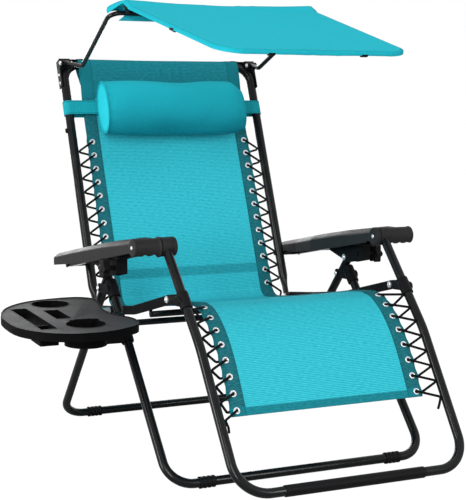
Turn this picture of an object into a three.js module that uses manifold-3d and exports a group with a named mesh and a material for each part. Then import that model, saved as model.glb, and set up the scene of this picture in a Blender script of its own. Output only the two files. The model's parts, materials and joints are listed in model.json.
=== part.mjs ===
// A folding reclining lounger in millimetres, +Z up: two crossing leg frames of round tube, a seat
// on two flat bars, a laced back and leg rest that tilt together, two moulded armrests whose
// star knobs clamp the tilt, a hinged canopy, a sliding head pillow and a clip-on side tray.
// The sitter faces -Y. Left and right are as seen from the front, so left lies at -X.

import * as THREE from 'three';
import { mergeVertices } from 'three/addons/utils/BufferGeometryUtils.js';
import Module from 'manifold-3d';

const wasm = await Module();
wasm.setup();

// Fits shared by every piece
const gap = 0.3;
const runningPlay = 1;
const overrun = 40;
const weldReach = 1e-5;

// Round tube stock
const backTubeRadius = 12.5;
const legTubeRadius = 11;
const crossTubeRadius = 8;
const canopyTubeRadius = 6;
const tubeSides = 12;
const bendSteps = 4;
const canopySides = 8;

// Half spacing of the tubes across the chair, all set out from the leg rest's top
const legRestTopHalf = 293.5;
const backInset = 5.5;
const legRestTaper = 5.5;
const barInset = 1;
const barThick = 12;
const seatCollarLong = 25.5;
const frontLegInset = 2;
const backHalf = legRestTopHalf - backInset;
const legRestFootHalf = legRestTopHalf - legRestTaper;
const barInner = legRestTopHalf - barInset;
const barOuter = barInner + barThick;
const rearLegHalf = barOuter + seatCollarLong + legTubeRadius;
const frontLegHalf = rearLegHalf - frontLegInset;

// Pivots and tube corners, seen from the side
const hipY = 254.6;
const hipZ = 327.7;
const kneeY = -300;
const kneeZ = 429;
const seatPivotY = 98;
const seatPivotZ = 347;
const lockPivotY = -7;
const lockPivotZ = 465;
const legHingeShare = 0.41;
const armRise = 127;
const backLeanShare = 0.3638;
const backLength = 703.5;
const headBendRadius = 50;
const legTopY = -9;
const legTopZ = 430;
const frontBarY = -382.6;
const barHeight = 14;
const legBendRadius = 62;
const rearTopRise = 9;
const shinBendY = -445.8;
const shinBendZ = 342;
const footBarY = -644;
const footBarZ = 54;
const shinBendRadius = 260;
const footBendRadius = 75;
const legRestTopRise = 7;

// Pins and rivets
const pinRadius = 4;
const pinHeadRadius = 8;
const pinHeadDepth = 3;
const pinSides = 10;
const boreSides = 12;
const roundSides = 16;
const endSteps = 6;
const smallPinRadius = 3;
const smallHeadRadius = 6;

// Seat bars
const barDeep = 22;
const seatBendY = -60;
const seatBendZ = 369.5;
const seatCrossY = -150;
const seatCrossDrop = 20;
const seatCrossEarThick = 4;
const lugSteps = 4;

// Flattened tube ends at the hip
const hipPlateThick = 8;
const hipPlateInner = backHalf - hipPlateThick / 2;
const hipPlateHalf = 12;
const hipPlateLength = 46;
const hipRoundStart = 30;

// Cross tube between the front legs, and the foot sleeve
const frontCrossZ = 343;
const sleeveRadius = 13.2;
const sleeveLeft = -182;
const sleeveRight = 169;
const sleeveSides = 16;

// Knee brackets
const kneeSleeveRadius = 14.5;
const kneeSleeveHalf = 22;
const kneeEarThick = 4;
const kneeDrop = 40;

// Ribbed feet
const footRadius = 14.5;
const footRibDepth = 1.8;
const footRibs = 4;
const footRibWide = 6.5;
const footEdge = 69;
const footLong = 44;
const footOuter = rearLegHalf - footEdge;
const footInner = footOuter - footLong;
const footSides = 12;

// Forked brackets round the rear legs
const forkThick = 3;
const forkLobe = 12;
const hingeSleeveRadius = 15;
const hingeSleeveTopZ = 436;
const hingeSleeveLowZ = 400;

// Lock bracket, housing and knob
const lockFrontY = -93;
const lockRearY = 77;
const lockFrontTopZ = 505;
const lockRearTopZ = 488;
const lockFrontLowZ = 465;
const housingFrontY = -105;
const housingRearY = -50;
const housingLowZ = 468;
const housingTopRise = 13;
const housingInset = 14;
const housingOutset = 15;
const housingInner = rearLegHalf - housingInset;
const housingOuter = rearLegHalf + housingOutset;
const knobY = -77;
const knobZ = 480;
const knobRadius = 22;
const knobLobeRadius = 8;
const knobLobes = 6;
const knobThick = 13;
const knobStandoff = 15.7;
const knobStudRadius = 5;
const knobSides = 12;
const knobLobeSides = 8;
const lockPlay = 3.4;

// Armrests
const armInset = 1.5;
const armRearGap = 21;
const armOutset = 29;
const armInner = barInner - armInset;
const armRearInner = backHalf + armRearGap;
const armOuter = rearLegHalf + armOutset;
const armEdgeShare = 0.125;
const armShoulderShare = 0.75;
const armWall = 3;
const armCrown = 10;
const armRearY = 361;
const armRearLowZ = 439;
const armRearHighZ = 463;
const armMidY = 120;
const armMidLowZ = 470;
const armMidHighZ = 505.5;
const armForeY = -30;
const armForeLowZ = 495;
const armForeHighZ = 530;
const armFrontY = -219;
const armFrontLowZ = 529;
const armFrontHighZ = 556;
const handleInset = 25.5;
const handleOutset = 46;
const handleInner = legRestTopHalf - handleInset;
const handleOuter = rearLegHalf + handleOutset;
const handleFrontY = -285;
const handleLowZ = 521;
const handleHighZ = 566;
const handleRound = 12;
const handleGrooveRadius = 9;
const handleGroovePitch = 26;
const handleGroovePlaces = [-1, 0, 1];
const railWide = 18;
const railTall = 14;
const railCentre = rearLegHalf;
const railEndReach = 13;
const pivotPocketRadius = 14.6;
const swingDegrees = 35;
const swingShares = [0, 0.33, 0.66, 1];

// Sling cloth
const slingInset = 41;
const slingHalf = backHalf - slingInset;
const slingThick = 2;
const slingSag = 8;
const slingPlay = 1;
const eyeletInset = 14.5;
const eyeletX = slingHalf - eyeletInset;
const eyeletHoleRadius = 5;
const eyeletPitch = 39.15;
const backEyelets = 12;
const eyeletBelowPillow = 79;
const legEyelets = 8;
const laceRadius = 1.8;
const backLaceLift = 4.8;
const legLaceLift = 3.7;
const laceRest = 6;
const laceBend = 2.4;
const laceSides = 4;
const eyeletSides = 6;
const backClothLow = 26;
const headSleeveDrop = 62;
const headSlopeLong = 143.5;
const backSlingAcross = 4;
const headTurnSteps = 8;
const seatSlingAcross = 6;
const seatSlingAlong = 10;
const legSlingAcross = 2;
const legSlingAlong = 14;
const clothSteps = 24;
const seatClothLowY = 222;
const seatClothLowZ = 334;
const seatClothMidY = 95.6;
const seatClothMidZ = 353;
const seatClothForeY = -71.4;
const seatClothForeZ = 380.4;
const seatClothBrowY = -175;
const seatClothBrowZ = 400;
const clothJoint = 0.6;
const seatClothFrontY = -283;
const seatClothFrontZ = 413;
const legClothTopY = -309;
const legClothTopZ = 412;
const legClothShoulderY = -344;
const legClothShoulderZ = 405;
const legClothKneeY = -399.2;
const legClothKneeZ = 368.7;
const legClothShinY = -451.8;
const legClothShinZ = 307.6;
const legClothEndY = -516;
const legClothEndZ = 194;
const legEyeletStart = 27;

// Head pillow and its elastic band
const pillowDrop = 151.5;
const pillowUp = backLength - pillowDrop;
const backEyeletTop = pillowUp - eyeletBelowPillow;
const pillowHalf = 214;
const pillowHigh = 152;
const pillowThick = 88;
const pillowFront = 15.5;
const pillowSides = 20;
const pillowFullShare = 0.85;
const pillowEndShares = [[-1, 0.8], [-0.985, 0.93], [-0.9, 0.97], [-0.6, 0.99], [0, 1],
  [0.6, 0.99], [0.9, 0.97], [0.985, 0.93], [1, 0.8]];
const bandSteps = 6;
const bandHigh = 42;
const bandThick = 1.6;
const bandPlay = 0.6;

// Canopy
const canopyPinDrop = 6.5;
const canopyPinUp = backLength - canopyPinDrop;
const canopyPinFront = 25;
const canopyPinInset = 15;
const canopyPinOutset = 13;
const canopyPinInner = backHalf - canopyPinInset;
const canopyPinOuter = backHalf + canopyPinOutset;
const canopyElbowInset = 20;
const canopyElbowReach = 86.9;
const canopyElbowRise = -10;
const canopyTopInset = 2;
const canopyTopReach = 362.9;
const canopyTopRise = 116;
const canopyRidgeInset = 26;
const canopyRidgeReach = 404.9;
const canopyRidgeRise = 127;
const canopyFrontInset = 50;
const canopyFrontReach = 936.9;
const canopyFrontRise = -12;
const canopyEndInset = 44;
const canopyBendRadius = 30;
const canopyFrontBend = 62;
const canopyCornerShares = [[1, 0], [0.62, 5], [0.28, 20]];
const canopySkirtRise = 97;
const canopySkirtInset = 38;
const canopyHoodOutset = 4;
const canopyHoodLift = 3;
const canopyClothRidgeInset = 16;
const canopyClothEdgeInset = 40;
const canopyClothFrontInset = 92;
const canopyClothThick = 2.4;
const canopyClothAcross = 6;
const frontWrapDegrees = 255;
const frontWrapSteps = 4;

// Corner brackets at the head
const cornerInset = 29;
const cornerOutset = 16.5;
const cornerDrop = 71.5;
const cornerRise = 15.5;
const cornerInner = backHalf - cornerInset;
const cornerOuter = backHalf + cornerOutset;
const cornerLow = backLength - cornerDrop;
const cornerHigh = backLength + cornerRise;
const cornerHalfThick = 16.5;
const earThick = 4.6;
const earRadius = 9;

// Side tray
const trayStandoff = 161;
const trayCentreX = -frontLegHalf - trayStandoff;
const trayCentreY = -118;
const trayWide = 290;
const trayLong = 424;
const trayTopZ = 379.6;
const traySlopeDegrees = 2.38;
const trayDeep = 20;
const trayWall = 3;
const trayLip = 2;
const cupRadius = 46;
const cupWall = 3;
const cupDrop = 50;
const cupSteps = 8;
const rearCupX = 16;
const rearCupY = 149;
const frontCupX = 20;
const frontCupY = -108;
const notchWide = 40;
const notchLong = 12;
const slotX = -75;
const slotY = -10;
const slotWide = 38;
const slotLong = 250;
const smallSlotX = -7;
const smallSlotY = 22;
const smallSlotWide = 36;
const smallSlotLong = 108;
const pocketDrop = 40;
const pocketLong = 70;
const clampRadius = 16;
const clampLow = 303;
const clampHigh = 327;
const clampArmWide = 26;
const clampArmReach = 42;
const trayScrewRadius = 9;
const trayScrewDepth = 10;
const trayShares = [[0.5, 0.42], [0.36, 0.5], [0.12, 0.5], [-0.13, 0.45], [-0.34, 0.32], [-0.47, 0.12],
  [-0.5, -0.08], [-0.48, -0.25], [-0.38, -0.38], [-0.22, -0.47], [-0.04, -0.5], [0.16, -0.49],
  [0.35, -0.43], [0.47, -0.36], [0.5, -0.26]];

// Finishes
const blackEnamel = { color: 0x1b1b1d, roughness: 0.28, metalness: 0.35 };
const blackPlastic = { color: 0x232324, roughness: 0.5, metalness: 0 };
const greyPlastic = { color: 0x3a3a3c, roughness: 0.55, metalness: 0 };
const steel = { color: 0xb9bcc0, roughness: 0.3, metalness: 0.9 };
const turquoise = { color: 0x1fb5c2, roughness: 0.85, metalness: 0 };
const cordBlack = { color: 0x141414, roughness: 0.8, metalness: 0 };

const lounger = new THREE.Group();
const sides = [['left', -1], ['right', 1]];

// Points and directions in the side view are pairs (y, z)
const side2 = (y, z) => new THREE.Vector2(y, z);
const at = (x, point) => new THREE.Vector3(x, point.x, point.y);
const stepFrom = (point, direction, distance) => point.clone().addScaledVector(direction, distance);
const mix = (from, to, share) => from.clone().lerp(to, share);

const hip = side2(hipY, hipZ);
const knee = side2(kneeY, kneeZ);
const seatPivot = side2(seatPivotY, seatPivotZ);
const lockPivot = side2(lockPivotY, lockPivotZ);
const backUp = side2(backLeanShare, Math.sqrt(1 - backLeanShare * backLeanShare));
const backFront = side2(-backUp.y, backUp.x);
const armPivot = stepFrom(hip, backUp, armRise);
const armFore = stepFrom(knee, backUp, armRise);
const armAlong = armFore.clone().sub(armPivot).normalize();
const armNormal = side2(armAlong.y, -armAlong.x);
const rearAlong = seatPivot.clone().sub(lockPivot).normalize();
const hinge = mix(lockPivot, seatPivot, legHingeShare);
const onBack = (up, front) => stepFrom(stepFrom(hip, backUp, up), backFront, front);

// Closed meshes and solids

function welded(geometry) {
  geometry.deleteAttribute('normal');
  geometry.deleteAttribute('uv');
  return mergeVertices(geometry, weldReach);
}

function signedVolume(positions, index) {
  const a = new THREE.Vector3();
  const b = new THREE.Vector3();
  const c = new THREE.Vector3();
  let six = 0;
  for (let i = 0; i < index.length; i += 3) {
    a.fromArray(positions, 3 * index[i]);
    b.fromArray(positions, 3 * index[i + 1]);
    c.fromArray(positions, 3 * index[i + 2]);
    six += a.dot(b.cross(c));
  }
  return six;
}

function solidOf(geometry) {
  const clean = welded(geometry);
  const vertProperties = new Float32Array(clean.getAttribute('position').array);
  const triVerts = new Uint32Array(clean.getIndex().array);
  if (signedVolume(vertProperties, triVerts) < 0) triVerts.reverse();
  return new wasm.Manifold(new wasm.Mesh({ numProp: 3, vertProperties, triVerts }));
}

function geometryOf(solid) {
  const mesh = solid.getMesh();
  const geometry = new THREE.BufferGeometry();
  geometry.setAttribute('position', new THREE.BufferAttribute(mesh.vertProperties, 3));
  geometry.setIndex(new THREE.BufferAttribute(mesh.triVerts, 1));
  geometry.computeVertexNormals();
  return geometry;
}

function addPiece(name, solid, finish, parent = lounger) {
  const mesh = new THREE.Mesh(geometryOf(solid), new THREE.MeshStandardMaterial(finish));
  mesh.name = name;
  parent.add(mesh);
  return mesh;
}

const joined = (first, ...others) => others.reduce((whole, other) => whole.add(other), first);
const cutBy = (first, ...others) => others.reduce((whole, other) => whole.subtract(other), first);

// A run of straight lengths joined by round bends, with its stations only where the tube turns
class BentRun extends THREE.Curve {
  constructor(corners, bendRadius, arcSteps = bendSteps) {
    super();
    const last = corners.length - 1;
    const heading = (i) => corners[i + 1].clone().sub(corners[i]).normalize();
    this.stations = [corners[0].clone()];
    this.headings = [heading(0)];
    for (let i = 1; i < last; i++) {
      this.addBend(corners[i], heading(i - 1), heading(i), bendRadius, arcSteps);
    }
    this.stations.push(corners[last].clone());
    this.headings.push(heading(last - 1));
  }

  addBend(corner, inward, outward, radius, arcSteps) {
    const turn = inward.angleTo(outward);
    const start = corner.clone().addScaledVector(inward, -radius * Math.tan(turn / 2));
    const toCentre = outward.clone().addScaledVector(inward, -Math.cos(turn)).normalize();
    for (let i = 0; i <= arcSteps; i++) {
      const angle = (turn * i) / arcSteps;
      const point = start.clone().addScaledVector(inward, radius * Math.sin(angle));
      this.stations.push(point.addScaledVector(toCentre, radius * (1 - Math.cos(angle))));
      const heading = inward.clone().multiplyScalar(Math.cos(angle));
      this.headings.push(heading.addScaledVector(toCentre, Math.sin(angle)));
    }
  }

  nearest(share) {
    return Math.round(share * (this.stations.length - 1));
  }

  getPoint(share) {
    return this.stations[this.nearest(share)].clone();
  }

  getPointAt(share) {
    return this.getPoint(share);
  }

  getTangentAt(share) {
    return this.headings[this.nearest(share)].clone();
  }
}

function circleShape(radius, count) {
  const shape = new THREE.Shape();
  for (let i = 0; i < count; i++) {
    const angle = (2 * Math.PI * i) / count;
    const x = radius * Math.cos(angle);
    const y = radius * Math.sin(angle);
    if (i === 0) shape.moveTo(x, y);
    else shape.lineTo(x, y);
  }
  shape.closePath();
  return shape;
}

function tubeAlong(corners, bendRadius, radius, count = tubeSides, arcSteps = bendSteps) {
  const run = new BentRun(corners, bendRadius, arcSteps);
  const options = { steps: run.stations.length - 1, extrudePath: run };
  return solidOf(new THREE.ExtrudeGeometry(circleShape(radius, count), options));
}

function rod(from, to, radius, count = tubeSides) {
  const axis = to.clone().sub(from);
  const geometry = new THREE.CylinderGeometry(radius, radius, axis.length(), count);
  const turn = new THREE.Quaternion().setFromUnitVectors(new THREE.Vector3(0, 1, 0), axis.normalize());
  geometry.applyQuaternion(turn);
  const middle = from.clone().add(to).multiplyScalar(0.5);
  geometry.translate(middle.x, middle.y, middle.z);
  return solidOf(geometry);
}

const clearRadius = (radius, count) => (radius + gap) / Math.cos(Math.PI / count);
const boreRadius = (radius) => clearRadius(radius, boreSides);
const legBore = clearRadius(legTubeRadius, tubeSides);
const acrossRod = (point, x1, x2, radius, count) => rod(at(x1, point), at(x2, point), radius, count);
const acrossBore = (point, radius) => (
  acrossRod(point, -rearLegHalf - overrun, rearLegHalf + overrun, boreRadius(radius), boreSides)
);

// A turned pin across the chair: a list of [x, radius] steps, mirrored by the sign
function turnedPin(point, sign, steps) {
  const profile = [new THREE.Vector2(0, steps[0][0])];
  steps.forEach(([x, radius], i) => {
    profile.push(new THREE.Vector2(radius, x));
    if (i + 1 < steps.length) profile.push(new THREE.Vector2(radius, steps[i + 1][0]));
  });
  const end = profile.pop();
  profile.push(new THREE.Vector2(0, end.y));
  const geometry = new THREE.LatheGeometry(profile, pinSides);
  geometry.rotateZ((-sign * Math.PI) / 2);
  geometry.translate(0, point.x, point.y);
  return solidOf(geometry);
}

const sidewaysBasis = new THREE.Matrix4().makeBasis(
  new THREE.Vector3(0, 1, 0), new THREE.Vector3(0, 0, 1), new THREE.Vector3(1, 0, 0),
);

// A side-view outline made solid between two places across the chair
function slab(shape, x1, x2) {
  const options = { depth: Math.abs(x2 - x1), bevelEnabled: false, curveSegments: endSteps };
  const geometry = new THREE.ExtrudeGeometry(shape, options);
  geometry.applyMatrix4(sidewaysBasis);
  geometry.translate(Math.min(x1, x2), 0, 0);
  return solidOf(geometry);
}

function polygon(points) {
  return new THREE.Shape(points.map((point) => new THREE.Vector2(point.x, point.y)));
}

// A strip of even width round a list of side-view points, with round ends
function stripShape(points, half, steps = endSteps) {
  const headings = points.slice(1).map((point, i) => point.clone().sub(points[i]).normalize());
  const outline = [];
  const last = points.length - 1;
  const normalAt = (i) => {
    const before = headings[Math.max(i - 1, 0)];
    const after = headings[Math.min(i, last - 1)];
    const sum = before.clone().add(after).normalize();
    return side2(-sum.y, sum.x).multiplyScalar(half / sum.dot(before));
  };
  const addEnd = (centre, heading) => {
    const start = Math.atan2(heading.y, heading.x) + Math.PI / 2;
    for (let i = 0; i <= steps; i++) {
      const angle = start - (Math.PI * i) / steps;
      outline.push(side2(centre.x + half * Math.cos(angle), centre.y + half * Math.sin(angle)));
    }
  };
  for (let i = 1; i < last; i++) outline.push(points[i].clone().add(normalAt(i)));
  addEnd(points[last], headings[last - 1]);
  for (let i = last - 1; i > 0; i--) outline.push(points[i].clone().sub(normalAt(i)));
  addEnd(points[0], headings[0].clone().negate());
  return polygon(outline);
}

// A closed skin through a row of rings that all have the same number of points
function loft(rings) {
  const count = rings[0].length;
  const positions = rings.flatMap((ring) => ring.flatMap((point) => [point.x, point.y, point.z]));
  const index = [];
  for (let i = 0; i + 1 < rings.length; i++) {
    for (let j = 0; j < count; j++) {
      const a = i * count + j;
      const b = i * count + ((j + 1) % count);
      index.push(a, b, b + count, a, b + count, a + count);
    }
  }
  const addCap = (start, flip) => {
    const ring = positions.slice(3 * start, 3 * (start + count));
    const centre = [0, 1, 2].map((axis) => ring.filter((_, k) => k % 3 === axis)
      .reduce((sum, value) => sum + value, 0) / count);
    const hub = positions.length / 3;
    positions.push(...centre);
    for (let j = 0; j < count; j++) {
      const a = start + j;
      const b = start + ((j + 1) % count);
      index.push(hub, flip ? a : b, flip ? b : a);
    }
  };
  addCap(0, false);
  addCap((rings.length - 1) * count, true);
  const geometry = new THREE.BufferGeometry();
  geometry.setAttribute('position', new THREE.Float32BufferAttribute(positions, 3));
  geometry.setIndex(index);
  return solidOf(geometry);
}

// Cloth of even thickness over a grid of shares across and along it
function clothSheet(surface, across, along, thickness) {
  const positions = [];
  const index = [];
  const wide = along + 1;
  const layer = (across + 1) * wide;
  for (const half of [thickness / 2, -thickness / 2]) {
    for (let i = 0; i <= across; i++) {
      for (let j = 0; j <= along; j++) {
        const { point, normal } = surface(i / across, j / along);
        positions.push(...point.clone().addScaledVector(normal, half).toArray());
      }
    }
  }
  const quad = (a, b, c, d) => index.push(a, b, c, a, c, d);
  for (let i = 0; i < across; i++) {
    for (let j = 0; j < along; j++) {
      const a = i * wide + j;
      quad(a, a + wide, a + wide + 1, a + 1);
      quad(layer + a, layer + a + 1, layer + a + wide + 1, layer + a + wide);
    }
  }
  for (let i = 0; i < across; i++) {
    const a = i * wide;
    const b = a + along;
    quad(a, layer + a, layer + a + wide, a + wide);
    quad(b + wide, layer + b + wide, layer + b, b);
  }
  for (let j = 0; j < along; j++) {
    const b = across * wide + j;
    quad(j + 1, layer + j + 1, layer + j, j);
    quad(b, layer + b, layer + b + 1, b + 1);
  }
  const geometry = new THREE.BufferGeometry();
  geometry.setAttribute('position', new THREE.Float32BufferAttribute(positions, 3));
  geometry.setIndex(index);
  return solidOf(geometry);
}

// A side-view path of points, measured by distance along it
class SidePath {
  constructor(points) {
    this.points = points;
    this.lengths = [0];
    for (let i = 1; i < points.length; i++) {
      this.lengths.push(this.lengths[i - 1] + points[i].distanceTo(points[i - 1]));
    }
    this.total = this.lengths[points.length - 1];
  }

  static smooth(points, count) {
    const curve = new THREE.SplineCurve(points);
    return new SidePath(curve.getPoints(count));
  }

  // The mean of the normals of the two runs that meet at a corner of the path
  normalAt(i) {
    const last = this.points.length - 1;
    const before = this.points[Math.max(i, 1)].clone().sub(this.points[Math.max(i, 1) - 1]).normalize();
    const next = this.points[Math.min(i + 1, last)].clone();
    const after = next.sub(this.points[Math.min(i, last - 1)]).normalize();
    const heading = before.add(after).normalize();
    return side2(-heading.y, heading.x);
  }

  at(distance) {
    const last = this.points.length - 1;
    let i = 1;
    while (i < last && this.lengths[i] < distance) i++;
    const run = this.lengths[i] - this.lengths[i - 1];
    const point = mix(this.points[i - 1], this.points[i], (distance - this.lengths[i - 1]) / run);
    const heading = this.points[i].clone().sub(this.points[i - 1]).normalize();
    return { point, heading, normal: side2(-heading.y, heading.x) };
  }
}

// Leg frames

function rearLegPoints() {
  const top = stepFrom(lockPivot, rearAlong, -rearTopRise);
  const drop = (lockPivot.y - barHeight) / -rearAlong.y;
  return { top, bar: stepFrom(lockPivot, rearAlong, drop) };
}

function uFrame(half, top, bar, radius, bendRadius) {
  return tubeAlong([at(-half, top), at(-half, bar), at(half, bar), at(half, top)], bendRadius, radius);
}

function makeRearLeg() {
  const { top, bar } = rearLegPoints();
  const tube = uFrame(rearLegHalf, top, bar, legTubeRadius, legBendRadius);
  const bores = [lockPivot, hinge, seatPivot].map((point) => acrossBore(point, pinRadius));
  addPiece('rear_leg', cutBy(tube, ...bores), blackEnamel);
  addFeet('rear', bar);
}

const legTop = side2(legTopY, legTopZ);
const frontBar = side2(frontBarY, barHeight);
const frontAlong = frontBar.clone().sub(legTop).normalize();
const onFrontLeg = (z) => stepFrom(legTop, frontAlong, (z - legTopZ) / frontAlong.y);

function makeFrontLeg() {
  addPiece('front_leg', uFrame(frontLegHalf, legTop, frontBar, legTubeRadius, legBendRadius), blackEnamel);
  addFeet('front', frontBar);
  const reach = frontLegHalf;
  const place = onFrontLeg(frontCrossZ);
  const cross = acrossRod(place, -reach, reach, crossTubeRadius, tubeSides);
  const legs = sides.map(([, sign]) => frontLegCore(sign * frontLegHalf, legBore));
  addPiece('front_cross_tube', cutBy(cross, ...legs), blackEnamel);
}

function frontLegCore(x, radius) {
  const low = stepFrom(legTop, frontAlong, legTop.distanceTo(frontBar));
  const high = stepFrom(legTop, frontAlong, -overrun);
  return rod(at(x, high), at(x, low), radius);
}

// A ribbed rubber foot, bored for the bar and flat where it meets the floor
function addFeet(name, bar) {
  for (const [side, sign] of sides) {
    const core = [new THREE.Vector2(0, footInner)];
    const pitch = (footOuter - footInner) / footRibs;
    for (let i = 0; i < footRibs; i++) {
      const start = footInner + i * pitch;
      core.push(new THREE.Vector2(footRadius, start), new THREE.Vector2(footRadius, start + footRibWide));
      if (i + 1 < footRibs) {
        core.push(new THREE.Vector2(footRadius - footRibDepth, start + footRibWide));
        core.push(new THREE.Vector2(footRadius - footRibDepth, start + pitch));
      }
    }
    core.push(new THREE.Vector2(0, core[core.length - 1].y));
    const body = new THREE.LatheGeometry(core, footSides);
    body.rotateZ((-sign * Math.PI) / 2);
    body.translate(0, bar.x, bar.y);
    const bar1 = acrossRod(bar, -footOuter - overrun, footOuter + overrun, legBore, tubeSides);
    const floorBlock = new THREE.BoxGeometry(2 * footOuter + overrun, overrun, overrun);
    floorBlock.translate(0, bar.x, -overrun / 2);
    addPiece(`${name}_foot_${side}`, cutBy(solidOf(body), bar1, solidOf(floorBlock)), blackPlastic);
  }
}

const forkInner1 = rearLegHalf - legTubeRadius - gap - forkThick;
const forkInner2 = forkInner1 + forkThick;
const forkOuter1 = rearLegHalf + legTubeRadius + gap;
const forkOuter2 = forkOuter1 + forkThick;

// Sleeve on the top of a front leg with two ears that straddle the rear leg
function makeFrontHinges() {
  for (const [side, sign] of sides) {
    const x = sign * frontLegHalf;
    const high = onFrontLeg(hingeSleeveTopZ);
    const low = onFrontLeg(hingeSleeveLowZ);
    const middle = mix(high, low, 0.5);
    const sleeve = rod(at(x, high), at(x, low), hingeSleeveRadius);
    const shape = stripShape([middle, hinge], forkLobe);
    const inner = slab(shape, sign * forkInner1, sign * forkInner2);
    const outer = slab(shape, sign * forkOuter1, sign * forkOuter2);
    const rivet = turnedPin(hinge, sign, [
      [forkInner1 - pinHeadDepth, pinHeadRadius], [forkInner1, pinRadius],
      [forkOuter2, pinHeadRadius], [forkOuter2 + pinHeadDepth, pinHeadRadius],
    ]);
    const body = cutBy(joined(sleeve, inner, outer), frontLegCore(x, legBore));
    addPiece(`front_leg_hinge_${side}`, joined(body, rivet), blackEnamel);
  }
}

// Lock: forked bracket on the rear leg top, housing that the rail slides through, star knob

function lockOutline() {
  return polygon([
    side2(lockFrontY, lockFrontLowZ),
    side2(lockPivotY - forkLobe * 2, lockPivotZ - forkLobe),
    side2(lockPivotY, lockPivotZ - forkLobe - 1),
    side2(lockPivotY + forkLobe, lockPivotZ - forkLobe / 2),
    side2(lockRearY, lockRearTopZ - forkLobe),
    side2(lockRearY, lockRearTopZ),
    side2(lockFrontY, lockFrontTopZ - forkThick),
  ]);
}

const railRiseAt = (y) => armPivot.y + ((y - armPivot.x) * armAlong.y) / armAlong.x;

function makeLocks() {
  const outline = lockOutline();
  for (const [side, sign] of sides) {
    const plates = [
      slab(outline, sign * forkInner1, sign * forkInner2),
      slab(outline, sign * forkOuter1, sign * forkOuter2),
    ];
    const webHigh = lockFrontTopZ - lockFrontLowZ - forkThick;
    const web = new THREE.BoxGeometry(forkOuter2 - forkInner1, forkThick, webHigh);
    web.translate((sign * (forkInner1 + forkOuter2)) / 2, lockFrontY + forkThick / 2,
      (lockFrontLowZ + lockFrontTopZ - forkThick) / 2);
    const bores = [acrossBore(lockPivot, pinRadius), acrossBore(side2(knobY, knobZ), knobStudRadius)];
    const bracket = cutBy(joined(solidOf(web), ...plates), ...bores);
    addPiece(`lock_bracket_${side}`, bracket, blackEnamel);
    makeHousing(side, sign);
    makeKnob(side, sign);
    const head = forkInner1 - gap;
    const nut = forkOuter2 + gap;
    addPiece(`lock_pin_${side}`, turnedPin(lockPivot, sign, [
      [head - pinHeadDepth, pinHeadRadius], [head, pinRadius],
      [nut, pinHeadRadius], [nut + pinHeadDepth, pinHeadRadius],
    ]), steel);
  }
}

function makeHousing(side, sign) {
  const rearTop = side2(housingRearY, railRiseAt(housingRearY) + housingTopRise);
  const frontTop = side2(housingFrontY, railRiseAt(housingFrontY) + housingTopRise);
  const low = lockFrontY + forkThick + gap;
  const neck = polygon([side2(low, housingLowZ), side2(housingRearY, housingLowZ), rearTop,
    stepFrom(rearTop, armAlong, rearTop.x - low)]);
  const headLow = lockFrontTopZ - forkThick + gap;
  const head = polygon([side2(housingFrontY, headLow), side2(housingRearY, headLow), rearTop, frontTop]);
  const neckSolid = slab(neck, sign * (forkInner2 + gap), sign * (forkOuter1 - gap));
  const headSolid = slab(head, sign * housingInner, sign * housingOuter);
  const slotHalf = railTall / 2 + lockPlay;
  const rail = [stepFrom(armPivot, armNormal, slotHalf), stepFrom(armPivot, armNormal, -slotHalf),
    stepFrom(armFore, armNormal, -slotHalf), stepFrom(armFore, armNormal, slotHalf)];
  const half = railWide / 2 + runningPlay;
  const slot = slab(polygon(rail), sign * (railCentre - half), sign * (railCentre + half));
  const stud = acrossBore(side2(knobY, knobZ), knobStudRadius);
  addPiece(`lock_housing_${side}`, cutBy(joined(neckSolid, headSolid), slot, stud), blackPlastic);
}

function makeKnob(side, sign) {
  const centre = side2(knobY, knobZ);
  const face = forkOuter2 + knobStandoff;
  const near = sign * face;
  const far = sign * (face + knobThick);
  const hub = acrossRod(centre, near, far, knobRadius - knobLobeRadius / 2, knobSides);
  const lobes = [];
  for (let i = 0; i < knobLobes; i++) {
    const angle = (2 * Math.PI * i) / knobLobes;
    const place = side2(Math.cos(angle), Math.sin(angle)).multiplyScalar(knobRadius - knobLobeRadius / 2);
    lobes.push(acrossRod(place.add(centre), near, far, knobLobeRadius, knobLobeSides));
  }
  const tip = sign * (forkInner2 + gap);
  const stud = acrossRod(centre, tip, sign * (face + knobThick / 2), knobStudRadius, pinSides);
  const collar = acrossRod(centre, sign * (forkOuter2 + gap), sign * face, knobStudRadius * 2, pinSides);
  addPiece(`lock_knob_${side}`, joined(hub, ...lobes, stud, collar), blackPlastic);
}

// Seat bars, cross tube and their pivot pins

const seatBend = side2(seatBendY, seatBendZ);

function makeSeatBars() {
  const shape = stripShape([knee, seatBend, seatPivot, hip], barDeep / 2);
  const bores = [knee, seatPivot, hip].map((point) => acrossBore(point, pinRadius));
  for (const [side, sign] of sides) {
    const bar = cutBy(slab(shape, sign * barInner, sign * barOuter), ...bores);
    addPiece(`seat_bar_${side}`, bar, blackEnamel);
    const collarEnd = rearLegHalf - legTubeRadius - gap;
    const nut = rearLegHalf + legTubeRadius + gap;
    addPiece(`seat_pivot_pin_${side}`, turnedPin(seatPivot, sign, [
      [barInner - gap - pinHeadDepth, pinHeadRadius], [barInner - gap, pinRadius],
      [barOuter + gap, pinHeadRadius], [collarEnd, pinRadius],
      [nut, pinHeadRadius], [nut + pinHeadDepth, pinHeadRadius],
    ]), steel);
  }
  const run = (seatCrossY - seatBendY) / (kneeY - seatBendY);
  const place = mix(seatBend, knee, run);
  const reach = barInner - gap;
  const low = side2(place.x, place.y - seatCrossDrop);
  const lug = stripShape([low, place], crossTubeRadius, lugSteps);
  const ears = sides.map(([, sign]) => slab(lug, sign * reach, sign * (reach - seatCrossEarThick)));
  const cross = acrossRod(low, -reach, reach, crossTubeRadius, tubeSides);
  addPiece('seat_cross_tube', joined(cross, ...ears), blackEnamel);
}

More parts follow.
